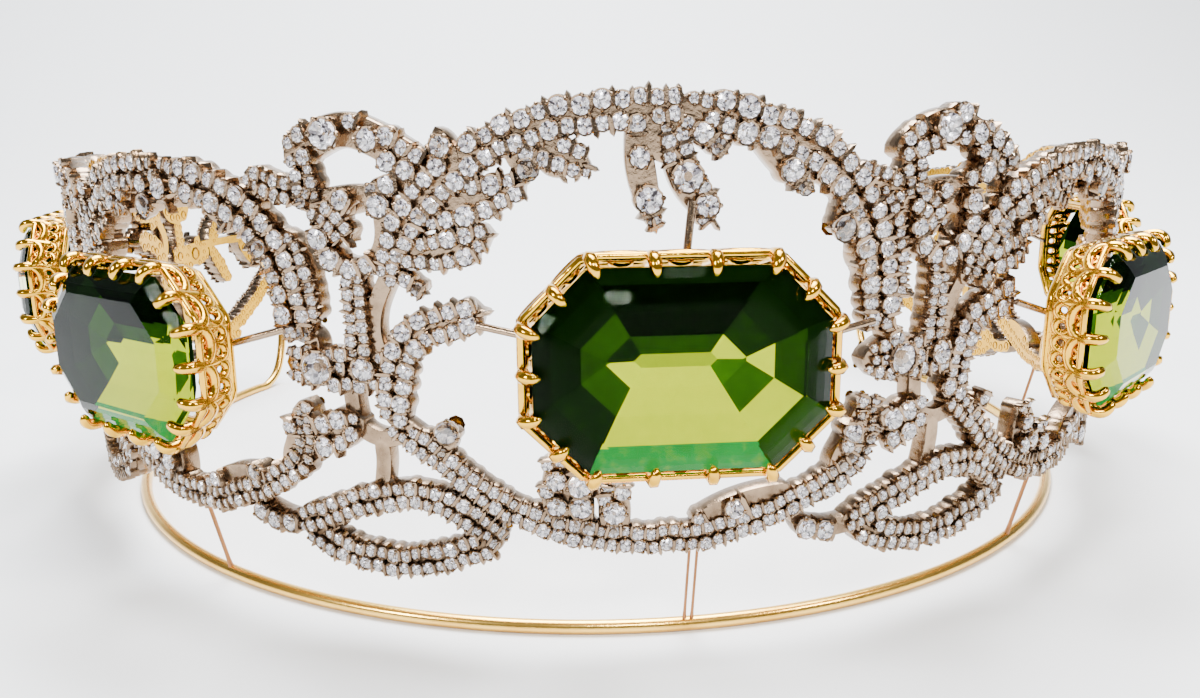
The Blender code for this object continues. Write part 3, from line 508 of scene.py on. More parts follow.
@dataclass
class Paths:
    """Wires that are drawn together: points, thickness at each, and the edges between them."""

    points: list = field(default_factory=list)
    gauges: list[float] = field(default_factory=list)
    edges: list[tuple[int, int]] = field(default_factory=list)

    def add(self, points: Sequence, radius: float | Sequence[float], closed: bool = False) -> None:
        """Adds one wire, with one radius or a radius for each point."""
        first = len(self.points)
        count = len(points)
        self.points += [tuple(point) for point in points]
        self.gauges += [radius] * count if isinstance(radius, (int, float)) else list(radius)
        self.edges += [(first + index, first + index + 1) for index in range(count - 1)]
        if closed:
            self.edges.append((first + count - 1, first))

    def draw(self, name: str, wire: WireAlongPath, sides: int,
             material: bpy.types.Material) -> bpy.types.Object:
        """Draws the wires as one piece.

        Args:
            name: the piece's name.
            wire: the tree that draws them.
            sides: how many sides the wire has.
            material: its finish.

        Returns:
            The piece.
        """
        carrier = mesh_object(name + "_path", self.points, (), edges=self.edges)
        gauge = carrier.data.attributes.new("gauge", "FLOAT", "POINT")
        gauge.data.foreach_set("value", self.gauges)
        piece = wire.apply(name, carrier, {"Sides": sides, "Gauge Factor": 1.0, "Material": material})
        bpy.data.objects.remove(carrier)
        return piece


# Finishes

def linear(colour: str) -> tuple[float, float, float, float]:
    """A linear colour with full alpha, from an sRGB hex value."""
    parts = [int(colour[index:index + 2], 16) / 255 for index in (1, 3, 5)]
    return (*[part / 12.92 if part <= 0.04045 else ((part + 0.055) / 1.055) ** 2.4 for part in parts], 1.0)


def new_material(name: str) -> tuple[bpy.types.Material, bpy.types.NodeTree, bpy.types.Node]:
    """A new material, its tree and its Principled shader."""
    material = bpy.data.materials.new(name)
    material.use_nodes = True
    return material, material.node_tree, material.node_tree.nodes["Principled BSDF"]


def colour_ramp(tree: bpy.types.NodeTree, value: bpy.types.NodeSocket,
                stops: Sequence[tuple[float, str]]) -> bpy.types.NodeSocket:
    """A ramp from places to colours.

    Args:
        tree: the material's tree.
        value: what is looked up.
        stops: place and sRGB hex value of each stop, in order.

    Returns:
        The colour output.
    """
    ramp = add_node(tree, "ShaderNodeValToRGB", {0: value})
    elements = ramp.color_ramp.elements
    while len(elements) < len(stops):
        elements.new(0.5)
    for element, (place, colour) in zip(elements, stops):
        element.position = place
        element.color = linear(colour)
    return ramp.outputs[0]


def grey_range(tree: bpy.types.NodeTree, value: bpy.types.NodeSocket, low: float,
               high: float) -> bpy.types.NodeSocket:
    """Maps a value from nought to one on to a range."""
    node = add_node(tree, "ShaderNodeMapRange", {"Value": value, "To Min": low, "To Max": high})
    return node.outputs[0]


@dataclass(frozen=True)
class Metal:
    """A worked precious metal: bright on its edges, where rubbing has polished it, and dull and darker in its
    hollows, where the darkening is painted shade.

    The colour is darker towards the bottom and lighter towards the top, by a share set for each metal, and
    varies with a noise of tarnish_mm. Fine hammer and polish marks of marks_mm lie over all of it.
    """

    name: str
    bright: str
    middle: str
    dark: str
    low_roughness: float
    high_roughness: float
    tarnish_mm: float
    marks_mm: float
    marks_depth: float
    soiled: float = 0.0

    def make(self) -> bpy.types.Material:
        """Builds the material."""
        material, tree, shader = new_material(self.name)
        place = add_node(tree, "ShaderNodeTexCoord").outputs["Object"]
        patches = add_node(tree, "ShaderNodeTexNoise",
                           {"Vector": place, "Scale": 1000 / self.tarnish_mm, "Detail": 4.0,
                            "Roughness": 0.62})
        # pointiness: edges come out brighter, as polished by rubbing, and hollows darker, a painted shade
        edges = add_node(tree, "ShaderNodeNewGeometry").outputs["Pointiness"]
        edge_wear_hollow_shade = add_node(tree, "ShaderNodeMapRange",
                          {"Value": edges, "From Min": 0.44, "From Max": 0.56, "To Min": 0.0, "To Max": 1.0})
        wear_and_hollow_shade = add_node(tree, "ShaderNodeMath", {0: edge_wear_hollow_shade.outputs[0], 1: 0.55}, operation="MULTIPLY")
        tarnish_wear_and_hollow_shade = add_node(tree, "ShaderNodeMath", {0: patches.outputs["Fac"], 1: 0.75, 2: wear_and_hollow_shade.outputs[0]},
                        operation="MULTIPLY_ADD")
        height = add_node(tree, "ShaderNodeSeparateXYZ", {0: place}).outputs[2]
        # darker towards the bottom and lighter towards the top, from the swag up to the bows
        darker_low_lighter_high = add_node(tree, "ShaderNodeMapRange",
                          {"Value": height, "From Min": 0.008, "From Max": 0.050, "To Min": -self.soiled,
                           "To Max": self.soiled / 2})
        half = add_node(tree, "ShaderNodeMath", {0: tarnish_wear_and_hollow_shade.outputs[0], 1: darker_low_lighter_high.outputs[0]}, operation="ADD")
        colour = colour_ramp(tree, half.outputs[0],
                             ((0.22, self.dark), (0.55, self.middle), (0.88, self.bright)))
        tree.links.new(colour, shader.inputs["Base Color"])
        dull = grey_range(tree, half.outputs[0], self.high_roughness, self.low_roughness)
        tree.links.new(dull, shader.inputs["Roughness"])
        shader.inputs["Metallic"].default_value = 1.0
        marks = add_node(tree, "ShaderNodeTexNoise",
                         {"Vector": place, "Scale": 1000 / self.marks_mm, "Detail": 3.0, "Roughness": 0.55})
        bump = add_node(tree, "ShaderNodeBump",
                        {"Height": marks.outputs["Fac"], "Strength": 0.6, "Distance": self.marks_depth})
        tree.links.new(bump.outputs[0], shader.inputs["Normal"])
        return material


@dataclass(frozen=True)
class Gem:
    """A polished cut stone seen from its crown: clear, with a tint, over its pavilion's facets."""

    name: str
    tint: str
    index: float
    roughness: float
    gloss: str

    def make(self) -> bpy.types.Material:
        """Builds the material."""
        material, tree, shader = new_material(self.name)
        place = add_node(tree, "ShaderNodeTexCoord").outputs["Object"]
        # faint growth zones inside the crystal, about 3 mm apart
        zones = add_node(tree, "ShaderNodeTexNoise", {"Vector": place, "Scale": 330.0, "Detail": 2.0})
        pale = tuple(min(1.0, part * 1.15) for part in linear(self.tint)[:3]) + (1.0,)
        mixed = add_node(tree, "ShaderNodeMix", {0: zones.outputs["Fac"], 6: linear(self.tint), 7: pale},
                         data_type="RGBA")
        tree.links.new(mixed.outputs[2], shader.inputs["Base Color"])
        shader.inputs["Transmission Weight"].default_value = 1.0
        shader.inputs["IOR"].default_value = self.index
        shader.inputs["Specular Tint"].default_value = linear(self.gloss)
        shader.inputs["Roughness"].default_value = self.roughness
        return material


@dataclass(frozen=True)
class Pavilion:
    """The back facets of a cut stone in the stone's colour, with painted light and shade on each facet, which
    also glows with painted light.

    Each facet has a painted brightness as its attribute, from nought for a facet painted dark, as if it threw
    light away, to one for a facet painted bright, as if it threw light back to the table.
    """

    name: str
    tones: tuple[tuple[float, str], ...]
    roughness: float
    mirror: float
    fire: float

    def make(self) -> bpy.types.Material:
        """Builds the material."""
        material, tree, shader = new_material(self.name)
        tone = add_node(tree, "ShaderNodeAttribute", attribute_name="tone", attribute_type="GEOMETRY")
        place = add_node(tree, "ShaderNodeTexCoord").outputs["Object"]
        # veils and small inclusions, about a millimetre across
        veils = add_node(tree, "ShaderNodeTexNoise", {"Vector": place, "Scale": 900.0, "Detail": 3.0})
        shifted = add_node(tree, "ShaderNodeMath", {0: veils.outputs["Fac"], 1: 0.5}, operation="SUBTRACT")
        varied = add_node(tree, "ShaderNodeMath", {0: shifted.outputs[0], 1: 0.10, 2: tone.outputs["Fac"]},
                          operation="MULTIPLY_ADD")
        # painted light and shade: each facet's painted brightness picks its colour, from dark to bright
        colour = colour_ramp(tree, varied.outputs[0], self.tones)
        tree.links.new(colour, shader.inputs["Base Color"])
        # painted glow: the facet emits its own colour, a painted stand-in for light that came in through the
        # crown and is thrown back by the facet
        tree.links.new(colour, shader.inputs["Emission Color"])
        shader.inputs["Emission Strength"].default_value = self.fire
        shader.inputs["Metallic"].default_value = self.mirror
        # the facet lies in the stone itself, so it has no outer gloss
        shader.inputs["IOR"].default_value = 1.0
        shader.inputs["Roughness"].default_value = self.roughness
        return material


@dataclass(frozen=True)
class Plaster:
    """The pale studio floor: matt painted board with a faint grain."""

    name: str
    colour: str

    def make(self) -> bpy.types.Material:
        """Builds the material."""
        material, tree, shader = new_material(self.name)
        place = add_node(tree, "ShaderNodeTexCoord").outputs["Object"]
        grain = add_node(tree, "ShaderNodeTexNoise", {"Vector": place, "Scale": 220.0, "Detail": 3.0})
        tree.links.new(grey_range(tree, grain.outputs["Fac"], 0.55, 0.75), shader.inputs["Roughness"])
        shader.inputs["Base Color"].default_value = linear(self.colour)
        return material


@dataclass(frozen=True)
class Finishes:
    """Every finish of the tiara, made once."""

    # Sterling silver, cast and cut up into beads: tarnished brown-grey, and darker between the beads, where
    # the darkening is painted shade
    silver: Metal = Metal("tarnished_silver", "#937C64", "#52402F", "#181007", 0.20, 0.46, 3.0, 0.6, 0.00010,
                          0.18)
    # Yellow gold, cast and polished: orange and darker in its hollows, a painted reflection and shade
    gold: Metal = Metal("yellow_gold", "#E8B02C", "#B47A12", "#5E3206", 0.12, 0.34, 3.0, 0.7, 0.00005)
    # The same gold as the scrollwork's back, which is only filed and rubbed
    back: Metal = Metal("gold_back", "#CE9A22", "#A0700E", "#523408", 0.22, 0.44, 4.0, 0.4, 0.00004)
    # Drawn gold wire, paler and satin from the draw plate
    wire: Metal = Metal("pale_gold_wire", "#F2C35E", "#CC922E", "#805018", 0.20, 0.38, 9.0, 0.4, 0.00003)
    # The posts' wire, brown with oxide since it was soldered
    oxide: Metal = Metal("oxidised_wire", "#9A6A44", "#5E3A22", "#2C180E", 0.30, 0.50, 3.0, 0.4, 0.00003)
    # Peridot, step cut and polished. Its index is kept low, so that the image of the pale floor
    # in the crown doesn't veil the facets behind it.
    peridot: Gem = Gem("peridot", "#F2FBC0", 1.18, 0.0, "#8C968A")
    # pavilion in the peridot's green, from painted shade to painted light, and a painted glow
    peridot_back: Pavilion = Pavilion(
        "peridot_pavilion", ((0.0, "#000200"), (0.22, "#061604"), (0.42, "#1E4204"), (0.52, "#326008"),
                             (0.60, "#107C3C"), (0.68, "#7A9400"), (0.84, "#A6B400"), (1.0, "#BCC800")),
        0.30, 0.0, 0.62)
    # Diamond, round brilliant cut
    diamond: Gem = Gem("diamond", "#FFFFFF", 2.0, 0.0, "#FFFFFF")
    # pavilion from painted shade in grey to painted light in white, and a painted glow
    diamond_back: Pavilion = Pavilion(
        "diamond_pavilion", ((0.0, "#121012"), (0.35, "#5A555A"), (0.7, "#ECE8F0"), (1.0, "#FFFFFF")),
        0.05, 1.0, 0.80)

    def made(self) -> dict[str, bpy.types.Material]:
        """Each finish's material, by the finish's name here."""
        return {name: getattr(self, name).make() for name in self.__dataclass_fields__}


# Small shapes that are set by the hundred, for a stone one unit across with its girdle at nought

def ring_points(count: int, radius: float, height: float,
                turn: float = 0.0) -> list[tuple[float, float, float]]:
    """Points of a level ring."""
    return [(radius * math.cos(math.tau * (index + turn) / count),
             radius * math.sin(math.tau * (index + turn) / count), height) for index in range(count)]


def lathe(name: str, rings: Sequence[Sequence], close_top: bool, close_foot: bool) -> bpy.types.Object:
    """A shape of stacked rings with the same number of points, lowest first."""
    points = [point for ring in rings for point in ring]
    count = len(rings[0])
    faces = [(level * count + index, level * count + (index + 1) % count,
              (level + 1) * count + (index + 1) % count, (level + 1) * count + index)
             for level in range(len(rings) - 1) for index in range(count)]
    if close_top:
        faces.append(tuple(range(len(points) - count, len(points))))
    if close_foot:
        faces.append(tuple(range(count - 1, -1, -1)))
    return mesh_object(name, points, faces)


class Mounting:
    """The shapes of one set diamond: crown, pavilion, collet, bead, bar and the seat's back."""

    def __init__(self) -> None:
        """Makes the shapes, to be removed once everything is set."""
        self.crown = self.make_crown()
        self.pavilion = self.make_pavilion()
        self.collet = lathe("collet", [ring_points(10, 0.42, -0.46), ring_points(10, 0.575, -0.02),
                                       ring_points(10, 0.585, 0.045), ring_points(10, 0.50, 0.03),
                                       ring_points(10, 0.47, -0.06)], False, False)
        self.bead = lathe("bead", [ring_points(6, 0.44, -0.6), ring_points(6, 0.47, 0.16, 0.5),
                                   ring_points(6, 0.18, 0.49)], True, True)
        self.bar = self.make_bar()
        self.seat = lathe("seat", [ring_points(8, 0.18, -0.01), ring_points(8, 0.27, -0.035),
                                   ring_points(8, 0.32, 0.055), ring_points(8, 0.42, -0.03)], False, True)
        for shape in self.shapes():
            smooth_by_angle(shape, 40.0)
        for shape in (self.crown, self.pavilion):
            shape.data.polygons.foreach_set("use_smooth", [False] * len(shape.data.polygons))

    def shapes(self) -> tuple[bpy.types.Object, ...]:
        """All of the shapes."""
        return self.crown, self.pavilion, self.collet, self.bead, self.bar, self.seat

    @staticmethod
    def make_bar() -> bpy.types.Object:
        """A bar cut up between two stones, one unit long: a ridge with pointed ends."""
        foot = ((-0.50, 0.0), (-0.30, -0.14), (0.30, -0.14), (0.50, 0.0), (0.30, 0.14), (-0.30, 0.14))
        rings = [[(x, y, -0.45) for x, y in foot], [(x, y, 0.02) for x, y in foot],
                 [(0.84 * x, 0.55 * y, 0.15 if abs(x) < 0.4 else 0.19) for x, y in foot]]
        return lathe("bar", rings, True, False)

    def make_crown(self) -> bpy.types.Object:
        """A brilliant's crown: a table, eight stars, eight kites and sixteen upper facets."""
        table = ring_points(8, 0.29, 0.17)
        kites = ring_points(8, 0.405, 0.105, 0.5)
        girdle = ring_points(16, 0.5, 0.015)
        points = table + kites + girdle
        faces = [tuple(range(8))]
        for index in range(8):
            ahead = (index + 1) % 8
            faces.append((index, 8 + index, ahead))
            corner, middle = 16 + index * 2, 16 + index * 2 + 1
            following = 16 + (index * 2 + 2) % 16
            faces.append((index, 8 + (index - 1) % 8, corner, 8 + index))
            faces.append((8 + index, corner, middle))
            faces.append((8 + index, middle, following))
        crown = mesh_object("crown", points, faces)
        work = bmesh.new()
        work.from_mesh(crown.data)
        for face in work.faces:
            if face.normal.z < 0:
                face.normal_flip()
        work.to_mesh(crown.data)
        work.free()
        return crown

    def make_pavilion(self) -> bpy.types.Object:
        """A brilliant's pavilion: sixteen facets in two tiers, whose painted light and shade differ by turns.
        """
        girdle = ring_points(16, 0.5, 0.0)
        lower = ring_points(8, 0.20, -0.24)
        points = girdle + lower + [(0.0, 0.0, -0.40)]
        faces = []
        tones = []
        for index in range(8):
            corner, middle, following = index * 2, index * 2 + 1, (index * 2 + 2) % 16
            ahead = 16 + (index + 1) % 8
            faces += [(corner, 16 + index, middle), (middle, 16 + index, ahead), (middle, ahead, following),
                      (16 + index, 24, ahead)]
            # painted light and shade of each facet, which differ by turns
            tones += [(0.75, 0.25, 0.95, 0.55), (0.35, 0.9, 0.6, 0.95), (1.0, 0.5, 0.15, 0.8),
                      (0.6, 1.0, 0.7, 0.2)][index % 4]
        pavilion = mesh_object("pavilion", points, faces)
        work = bmesh.new()
        work.from_mesh(pavilion.data)
        for face in work.faces:
            if face.normal.z > 0:
                face.normal_flip()
        work.to_mesh(pavilion.data)
        work.free()
        tone = pavilion.data.attributes.new("tone", "FLOAT", "FACE")
        tone.data.foreach_set("value", tones)
        return pavilion

    def discard(self) -> None:
        """Removes the shapes once everything is set."""
        for shape in self.shapes():
            bpy.data.objects.remove(shape)


@dataclass
class SetStones:
    """Places of things set on the sheet: distance along, distance out, height, size and turn of each."""

    rows: list[tuple[float, float, float, float, float]] = field(default_factory=list)

    def add(self, along: float, out: float, height: float, size: float, turn: float = 0.0) -> None:
        """Adds one place."""
        self.rows.append((along, out, height, size, turn))

    def carrier(self, name: str, band: Band, backwards: bool = False) -> bpy.types.Object:
        """Points on the band with the attributes that the tree reads.

        Args:
            name: the carrier's name.
            band: the cone that the sheet is bent round.
            backwards: whether the things face the head.

        Returns:
            The object, to be removed after use.
        """
        rows = np.array(self.rows)
        carrier = mesh_object(name, band.wrap(rows[:, :3]), ())
        angles = rows[:, 0] / band.mean_radius
        tip = -math.pi / 2 if backwards else math.pi / 2
        turns = np.stack([np.full(len(rows), tip), rows[:, 4], angles], axis=1)
        facing = carrier.data.attributes.new("facing", "FLOAT_VECTOR", "POINT")
        facing.data.foreach_set("vector", turns.astype(np.float32).ravel())
        size = carrier.data.attributes.new("size", "FLOAT", "POINT")
        size.data.foreach_set("value", rows[:, 3].astype(np.float32))
        return carrier


@dataclass
class Bench:
    """What every sub-assembly works with: the band, the trees, the shapes and the finishes."""

    band: Band
    mounting: Mounting
    setter: SetOnPoints
    wire: WireAlongPath
    finish: dict[str, bpy.types.Material]
    taken: list[tuple[float, float, float]] = field(default_factory=list)

    def is_free(self, along: float, height: float, diameter: float, closeness: float = 0.80) -> bool:
        """Whether a stone fits here beside those already set, which it then joins."""
        for other_along, other_height, other in self.taken:
            reach = (diameter + other) / 2 * closeness
            if abs(along - other_along) < reach and abs(height - other_height) < reach:
                if math.hypot(along - other_along, height - other_height) < reach:
                    return False
        self.taken.append((along, height, diameter))
        return True


# Sections of scrollwork

@dataclass
class StripWork:
    """One strip as it is made: its line in metres, its stones and its scalloped outline."""

    strip: Strip
    line: np.ndarray
    front: float
    station: float = 0.00032
    claw: float = 0.00020
    end_room: float = 0.0003
    smallest_stone: float = 0.0008
    largest_stone: float = 0.0026
    row_share: float = 0.92
    stone_pitch: float = 1.08

    def __post_init__(self) -> None:
        """Works out the strip's length and directions."""
        self.line = smooth_line(self.line, self.station)
        steps = np.linalg.norm(np.diff(self.line, axis=0), axis=1)
        self.places = np.concatenate([[0], np.cumsum(steps)])
        self.length = float(self.places[-1])
        heading = np.gradient(self.line, axis=0)
        heading /= np.linalg.norm(heading, axis=1)[:, None]
        self.side = np.stack([-heading[:, 1], heading[:, 0]], axis=1)
        self.widths = np.array([self.strip.width(place / self.length) for place in self.places])
        self.stones: list[tuple[float, float, float]] = []
        self.bars: list[tuple[float, float, float, float]] = []

    def at(self, place: float, across: float) -> tuple[float, float]:
        """Where a place along the strip and across it lies on the sheet."""
        x, z = (np.interp(place, self.places, self.line[:, axis])
                + across * np.interp(place, self.places, self.side[:, axis]) for axis in (0, 1))
        return float(x), float(z)

    def lay_stones(self, bench: Bench, wobble: np.random.Generator) -> Iterator[tuple[float, float, float]]:
        """Lays rows of stones along the strip, where there is room.

        Args:
            bench: knows which places are taken.
            wobble: small differences from stone to stone.

        Yields:
            Place along, height and diameter of each stone on the sheet.
        """
        if self.strip.kind is Kind.STEM:
            return
        widest = float(self.widths.max())
        rows = max(1, round(widest / GAUGES[self.strip.kind].row))
        if self.strip.end < 0.2:
            self.add_tip()
        for row in range(rows):
            share = (row + 0.5) / rows - 0.5
            place = self.end_room + 0.0007 * (row % 2)
            while place < self.length - self.end_room:
                width = float(np.interp(place, self.places, self.widths))
                diameter = min(self.largest_stone,
                               self.row_share * width / rows * (1 + wobble.uniform(-0.24, 0.12)))
                if diameter < self.smallest_stone:
                    place += self.end_room
                    continue
                across = share * width * 1.04 + wobble.uniform(-1, 1) * 0.00018
                along, height = self.at(place + diameter / 2, across)
                if place + diameter / 2 < self.length and bench.is_free(along, height, diameter):
                    self.stones.append((place + diameter / 2, across, diameter))
                    self.add_bar(place + 1.04 * diameter, across, width / rows, wobble)
                    yield along, height, diameter
                place += diameter * self.stone_pitch

    def add_tip(self) -> None:
        """Adds the pointed claw at a leaf's tip, along the strip."""
        heading = self.line[-1] - self.line[-3]
        x, z = self.line[-1] - 0.0002 * heading / np.linalg.norm(heading)
        self.bars.append((float(x), float(z), 0.0018, -math.atan2(heading[1], heading[0])))

    def add_bar(self, place: float, across: float, length: float, wobble: np.random.Generator) -> None:
        """Adds the bar behind a stone, square to the strip: it juts out past the strip's edge."""
        out = math.copysign(0.14 * length, across) if abs(across) > 0.2 * length else 0.0
        x, z = self.at(place, across + out)
        slope = math.atan2(np.interp(place, self.places, self.side[:, 1]),
                           np.interp(place, self.places, self.side[:, 0]))
        self.bars.append((x, z, length * wobble.uniform(1.0, 1.25), -slope + wobble.uniform(-0.2, 0.2)))

    def edge(self, side: int) -> np.ndarray:
        """Distance from the centre line to the scalloped edge on one side."""
        reach = self.widths * 0.46
        for place, across, diameter in self.stones:
            radius = diameter / 2 + self.claw
            bulge = radius ** 2 - (self.places - place) ** 2
            inside = bulge > 0
            reach[inside] = np.maximum(reach[inside], side * across + np.sqrt(bulge[inside]))
        from_end = np.minimum(self.places, self.length - self.places)
        round_off = np.clip(from_end / (0.6 * self.widths.clip(0.0006)), 0, 1)
        return np.maximum(reach * np.sqrt(1 - (1 - round_off) ** 2), 0.00006)

    def mesh(self) -> tuple[np.ndarray, list[tuple[int, ...]], list[int]]:
        """The strip as a closed bar on the sheet.

        Returns:
            Points as distance along, out and height, the faces, and each face's finish: 0 for
            the silver front and sides, 1 for the gold back.
        """
        left, right = self.edge(1), self.edge(-1)
        front = self.front
        # across as a share of the edge's distance and as a length inside it, and distance out
        profile = ((-0.90, 0.0, 0.0), (0.90, 0.0, 0.0), (1.0, 0.0, 0.00035), (1.0, 0.0, front - 0.0003),
                   (1.0, 0.00014, front), (0.0, 0.0, front + 0.00006), (-1.0, 0.00014, front),
                   (-1.0, 0.0, front - 0.0003), (-1.0, 0.0, 0.00035))
        columns = []
        for share, inset, out in profile:
            edge = left if share > 0 else right
            reach = np.maximum(abs(share) * edge - inset, 0.25 * edge) * (1 if share > 0 else -1)
            reach = reach * (share != 0)
            flat = self.line + self.side * reach[:, None]
            columns.append(np.stack([flat[:, 0], np.full(len(flat), out), flat[:, 1]], axis=1))
        points = np.stack(columns, axis=1).reshape(-1, 3)
        count, stations = len(profile), len(self.line)
        faces, slots = [], []
        for station in range(stations - 1):
            for index in range(count):
                ahead = (index + 1) % count
                first = station * count
                faces.append((first + index, first + count + index, first + count + ahead, first + ahead))
                slots.append(1 if index == 0 else 0)
        last = (stations - 1) * count
        faces += [tuple(range(count)), tuple(range(last + count - 1, last - 1, -1))]
        slots += [0, 0]
        return points, faces, slots


@dataclass
class Section:
    """One section of the band: its strips, its larger stones and the solids it stands for."""

    name: str
    middle: float
    rise: float
    spread: float
    strips: tuple[Strip, ...]
    loose: tuple[LooseStone, ...]
    tail: tuple[Strip, ...] = ()
    tail_length: float = 0.0
    seed: int = 1
    loose_lift: float = 0.00045
    bar_lift: float = 0.00052

    def on_sheet(self, band: Band, u: float, z: float) -> tuple[float, float]:
        """Distance along the band from the front, and height, of a place of this section."""
        return self.middle + band.along(u) * self.spread, band.height(z, self.rise)

    def works(self, band: Band) -> list[StripWork]:
        """Each strip in metres, a hair further out than the one before it."""
        lines = [(strip, np.array([self.on_sheet(band, u, z) for u, z in strip.line]))
                 for strip in self.strips]
        lines += [(strip, np.array([(self.middle + self.tail_length * u, band.height(z, self.rise))
                                    for u, z in strip.line])) for strip in self.tail]
        return [StripWork(strip, line, band.thickness + band.relief * GAUGES[strip.kind].relief
                          + 0.00002 * (index % 5)) for index, (strip, line) in enumerate(lines)]

    def build(self, bench: Bench) -> list[bpy.types.Object]:
        """Builds the section's plate, stones, beads and seats.

        Args:
            bench: the band, the trees, the shapes and the finishes.

        Returns:
            The pieces, the plate first.
        """
        band = bench.band
        wobble = np.random.default_rng(self.seed)
        stones, beads, bars = SetStones(), SetStones(), SetStones()
        top = band.thickness + band.relief + self.loose_lift
        for loose in self.loose:
            along, height = self.on_sheet(band, loose.u, loose.z)
            if bench.is_free(along, height, loose.diameter):
                stones.add(along, top + 0.1 * loose.diameter, height, loose.diameter)
                self.add_claws(beads, along, height, loose.diameter, top + 0.16 * loose.diameter, 6, 0.0)
        points, faces, slots = [], [], []
        for work in self.works(band):
            for along, height, diameter in work.lay_stones(bench, wobble):
                out = work.front + 0.36 * diameter
                stones.add(along, out, height, diameter)
                self.add_claws(beads, along, height, diameter, out + 0.06 * diameter, 3,
                               wobble.uniform(0, 2.0))
            for along, height, size, turn in work.bars:
                bars.add(along, work.front + self.bar_lift, height, size, turn)
            first = sum(len(part) for part in points)
            flat, strip_faces, strip_slots = work.mesh()
            points.append(flat)
            faces += [tuple(first + corner for corner in face) for face in strip_faces]
            slots += strip_slots
        plate = mesh_object(self.name + "_plate", band.wrap(np.vstack(points)), faces,
                            (bench.finish["silver"], bench.finish["back"]), slots)
        face_outwards(plate)
        smooth_by_angle(plate, 48.0)
        pieces = [plate]
        front = stones.carrier(self.name + "_front", band)
        back = SetStones([(along, 0.0, height, size, 0.0) for along, out, height, size, turn in stones.rows])
        behind = back.carrier(self.name + "_behind", band, backwards=True)
        nubs = beads.carrier(self.name + "_nubs", band)
        between = bars.carrier(self.name + "_between", band)
        shapes, finish = bench.mounting, bench.finish
        for title, carrier, shape, tilt, spin, material in (
                ("crowns", front, shapes.crown, 0.20, math.tau, "diamond"),
                ("pavilions", front, shapes.pavilion, 0.20, math.tau, "diamond_back"),
                ("collets", front, shapes.collet, 0.0, math.tau, "silver"),
                ("beads", nubs, shapes.bead, 0.12, math.tau, "silver"),
                ("bars", between, shapes.bar, 0.10, 0.0, "silver"),
                ("seats", behind, shapes.seat, 0.0, math.tau, "back")):
            pieces.append(bench.setter.apply(
                f"{self.name}_{title}", carrier,
                {"Shape": shape, "Size Factor": 1.0, "Tilt": tilt, "Spin": spin, "Seed": self.seed,
                 "Material": finish[material]}))
        for carrier in (front, behind, nubs, between):
            bpy.data.objects.remove(carrier)
        return pieces

    @staticmethod
    def add_claws(beads: SetStones, along: float, height: float, diameter: float, out: float, count: int,
                  turn: float) -> None:
        """Adds the beads that hold one stone, apart from those a neighbour already has there."""
        for index in range(count):
            angle = math.tau * index / count + turn
            x = along + 0.53 * diameter * math.cos(angle)
            z = height + 0.53 * diameter * math.sin(angle)
            size = 0.00034 + 0.10 * diameter
            if all(math.hypot(x - row[0], z - row[2]) > 0.75 * size for row in beads.rows[-60:]):
                beads.add(x, out, z, size)


@dataclass(frozen=True)
class Wreath:
    """What differs from wreath to wreath."""

    suffix: str
    place: int
    spread: float
    rise: float
    stone_share: float
    stone_drop: float

    @property
    def is_front(self) -> bool:
        """Whether this is the front wreath."""
        return self.place == 0


@dataclass(frozen=True)
class Knot:
    """What differs from knot to knot. Its place is the number of the wreath on its left."""

    name: str
    place: int
    rise: float
    tail: int


# How far the front wreath rises over its stone, and the swag's lowest place on the sheet
FRONT_RISE, SWAG_FOOT = 0.0250, 12.8

WREATHS = (
    Wreath("left_back", -2, 0.84, 0.0168, 0.91, 0.0014),
    Wreath("left", -1, 0.84, 0.0185, 0.91, 0.0014),
    Wreath("front", 0, 1.0, FRONT_RISE, 1.0, 0.0),
    Wreath("right", 1, 0.84, 0.0185, 0.91, 0.0014),
    Wreath("right_back", 2, 0.84, 0.0168, 0.91, 0.0014),
)
KNOTS = (
    Knot("end_left", -3, 0.0146, -1),
    Knot("knot_left_back", -2, 0.0182, 0),
    Knot("knot_left_front", -1, 0.0242, 0),
    Knot("knot_right_front", 0, 0.0242, 0),
    Knot("knot_right_back", 1, 0.0182, 0),
    Knot("end_right", 2, 0.0146, 1),
)


def wreath_section(band: Band, wreath: Wreath) -> Section:
    """The section of one wreath."""
    middle = wreath.place * band.pitch * band.mean_radius
    bunch = FRONT_BUNCH if wreath.is_front else SIDE_BUNCH
    loose = WREATH_STONES + (FRONT_STONES if wreath.is_front else ())
    return Section("wreath_" + wreath.suffix, middle, wreath.rise, wreath.spread, bunch + WREATH_STRIPS,
                   loose, seed=20 + wreath.place)


def knot_section(band: Band, knot: Knot) -> Section:
    """The section of one knot, with its tail if it is the last one."""
    spreads = {wreath.place: wreath.spread for wreath in WREATHS}
    pitch = band.pitch * band.mean_radius
    if knot.place in spreads:
        middle = knot.place * pitch + band.along(SEAM_RIGHT) * spreads[knot.place] + band.along(KNOT_OFFSET)
    else:
        following = knot.place + 1
        middle = following * pitch + band.along(SEAM_LEFT) * spreads[following] - band.along(KNOT_OFFSET)
    length = knot.tail * (band.reach * band.mean_radius - abs(middle))
    return Section(knot.name, middle, knot.rise, 1.0, KNOT_STRIPS, KNOT_STONES,
                   TAIL_STRIPS if knot.tail else (), length, seed=40 + knot.place)


# Settings and peridots

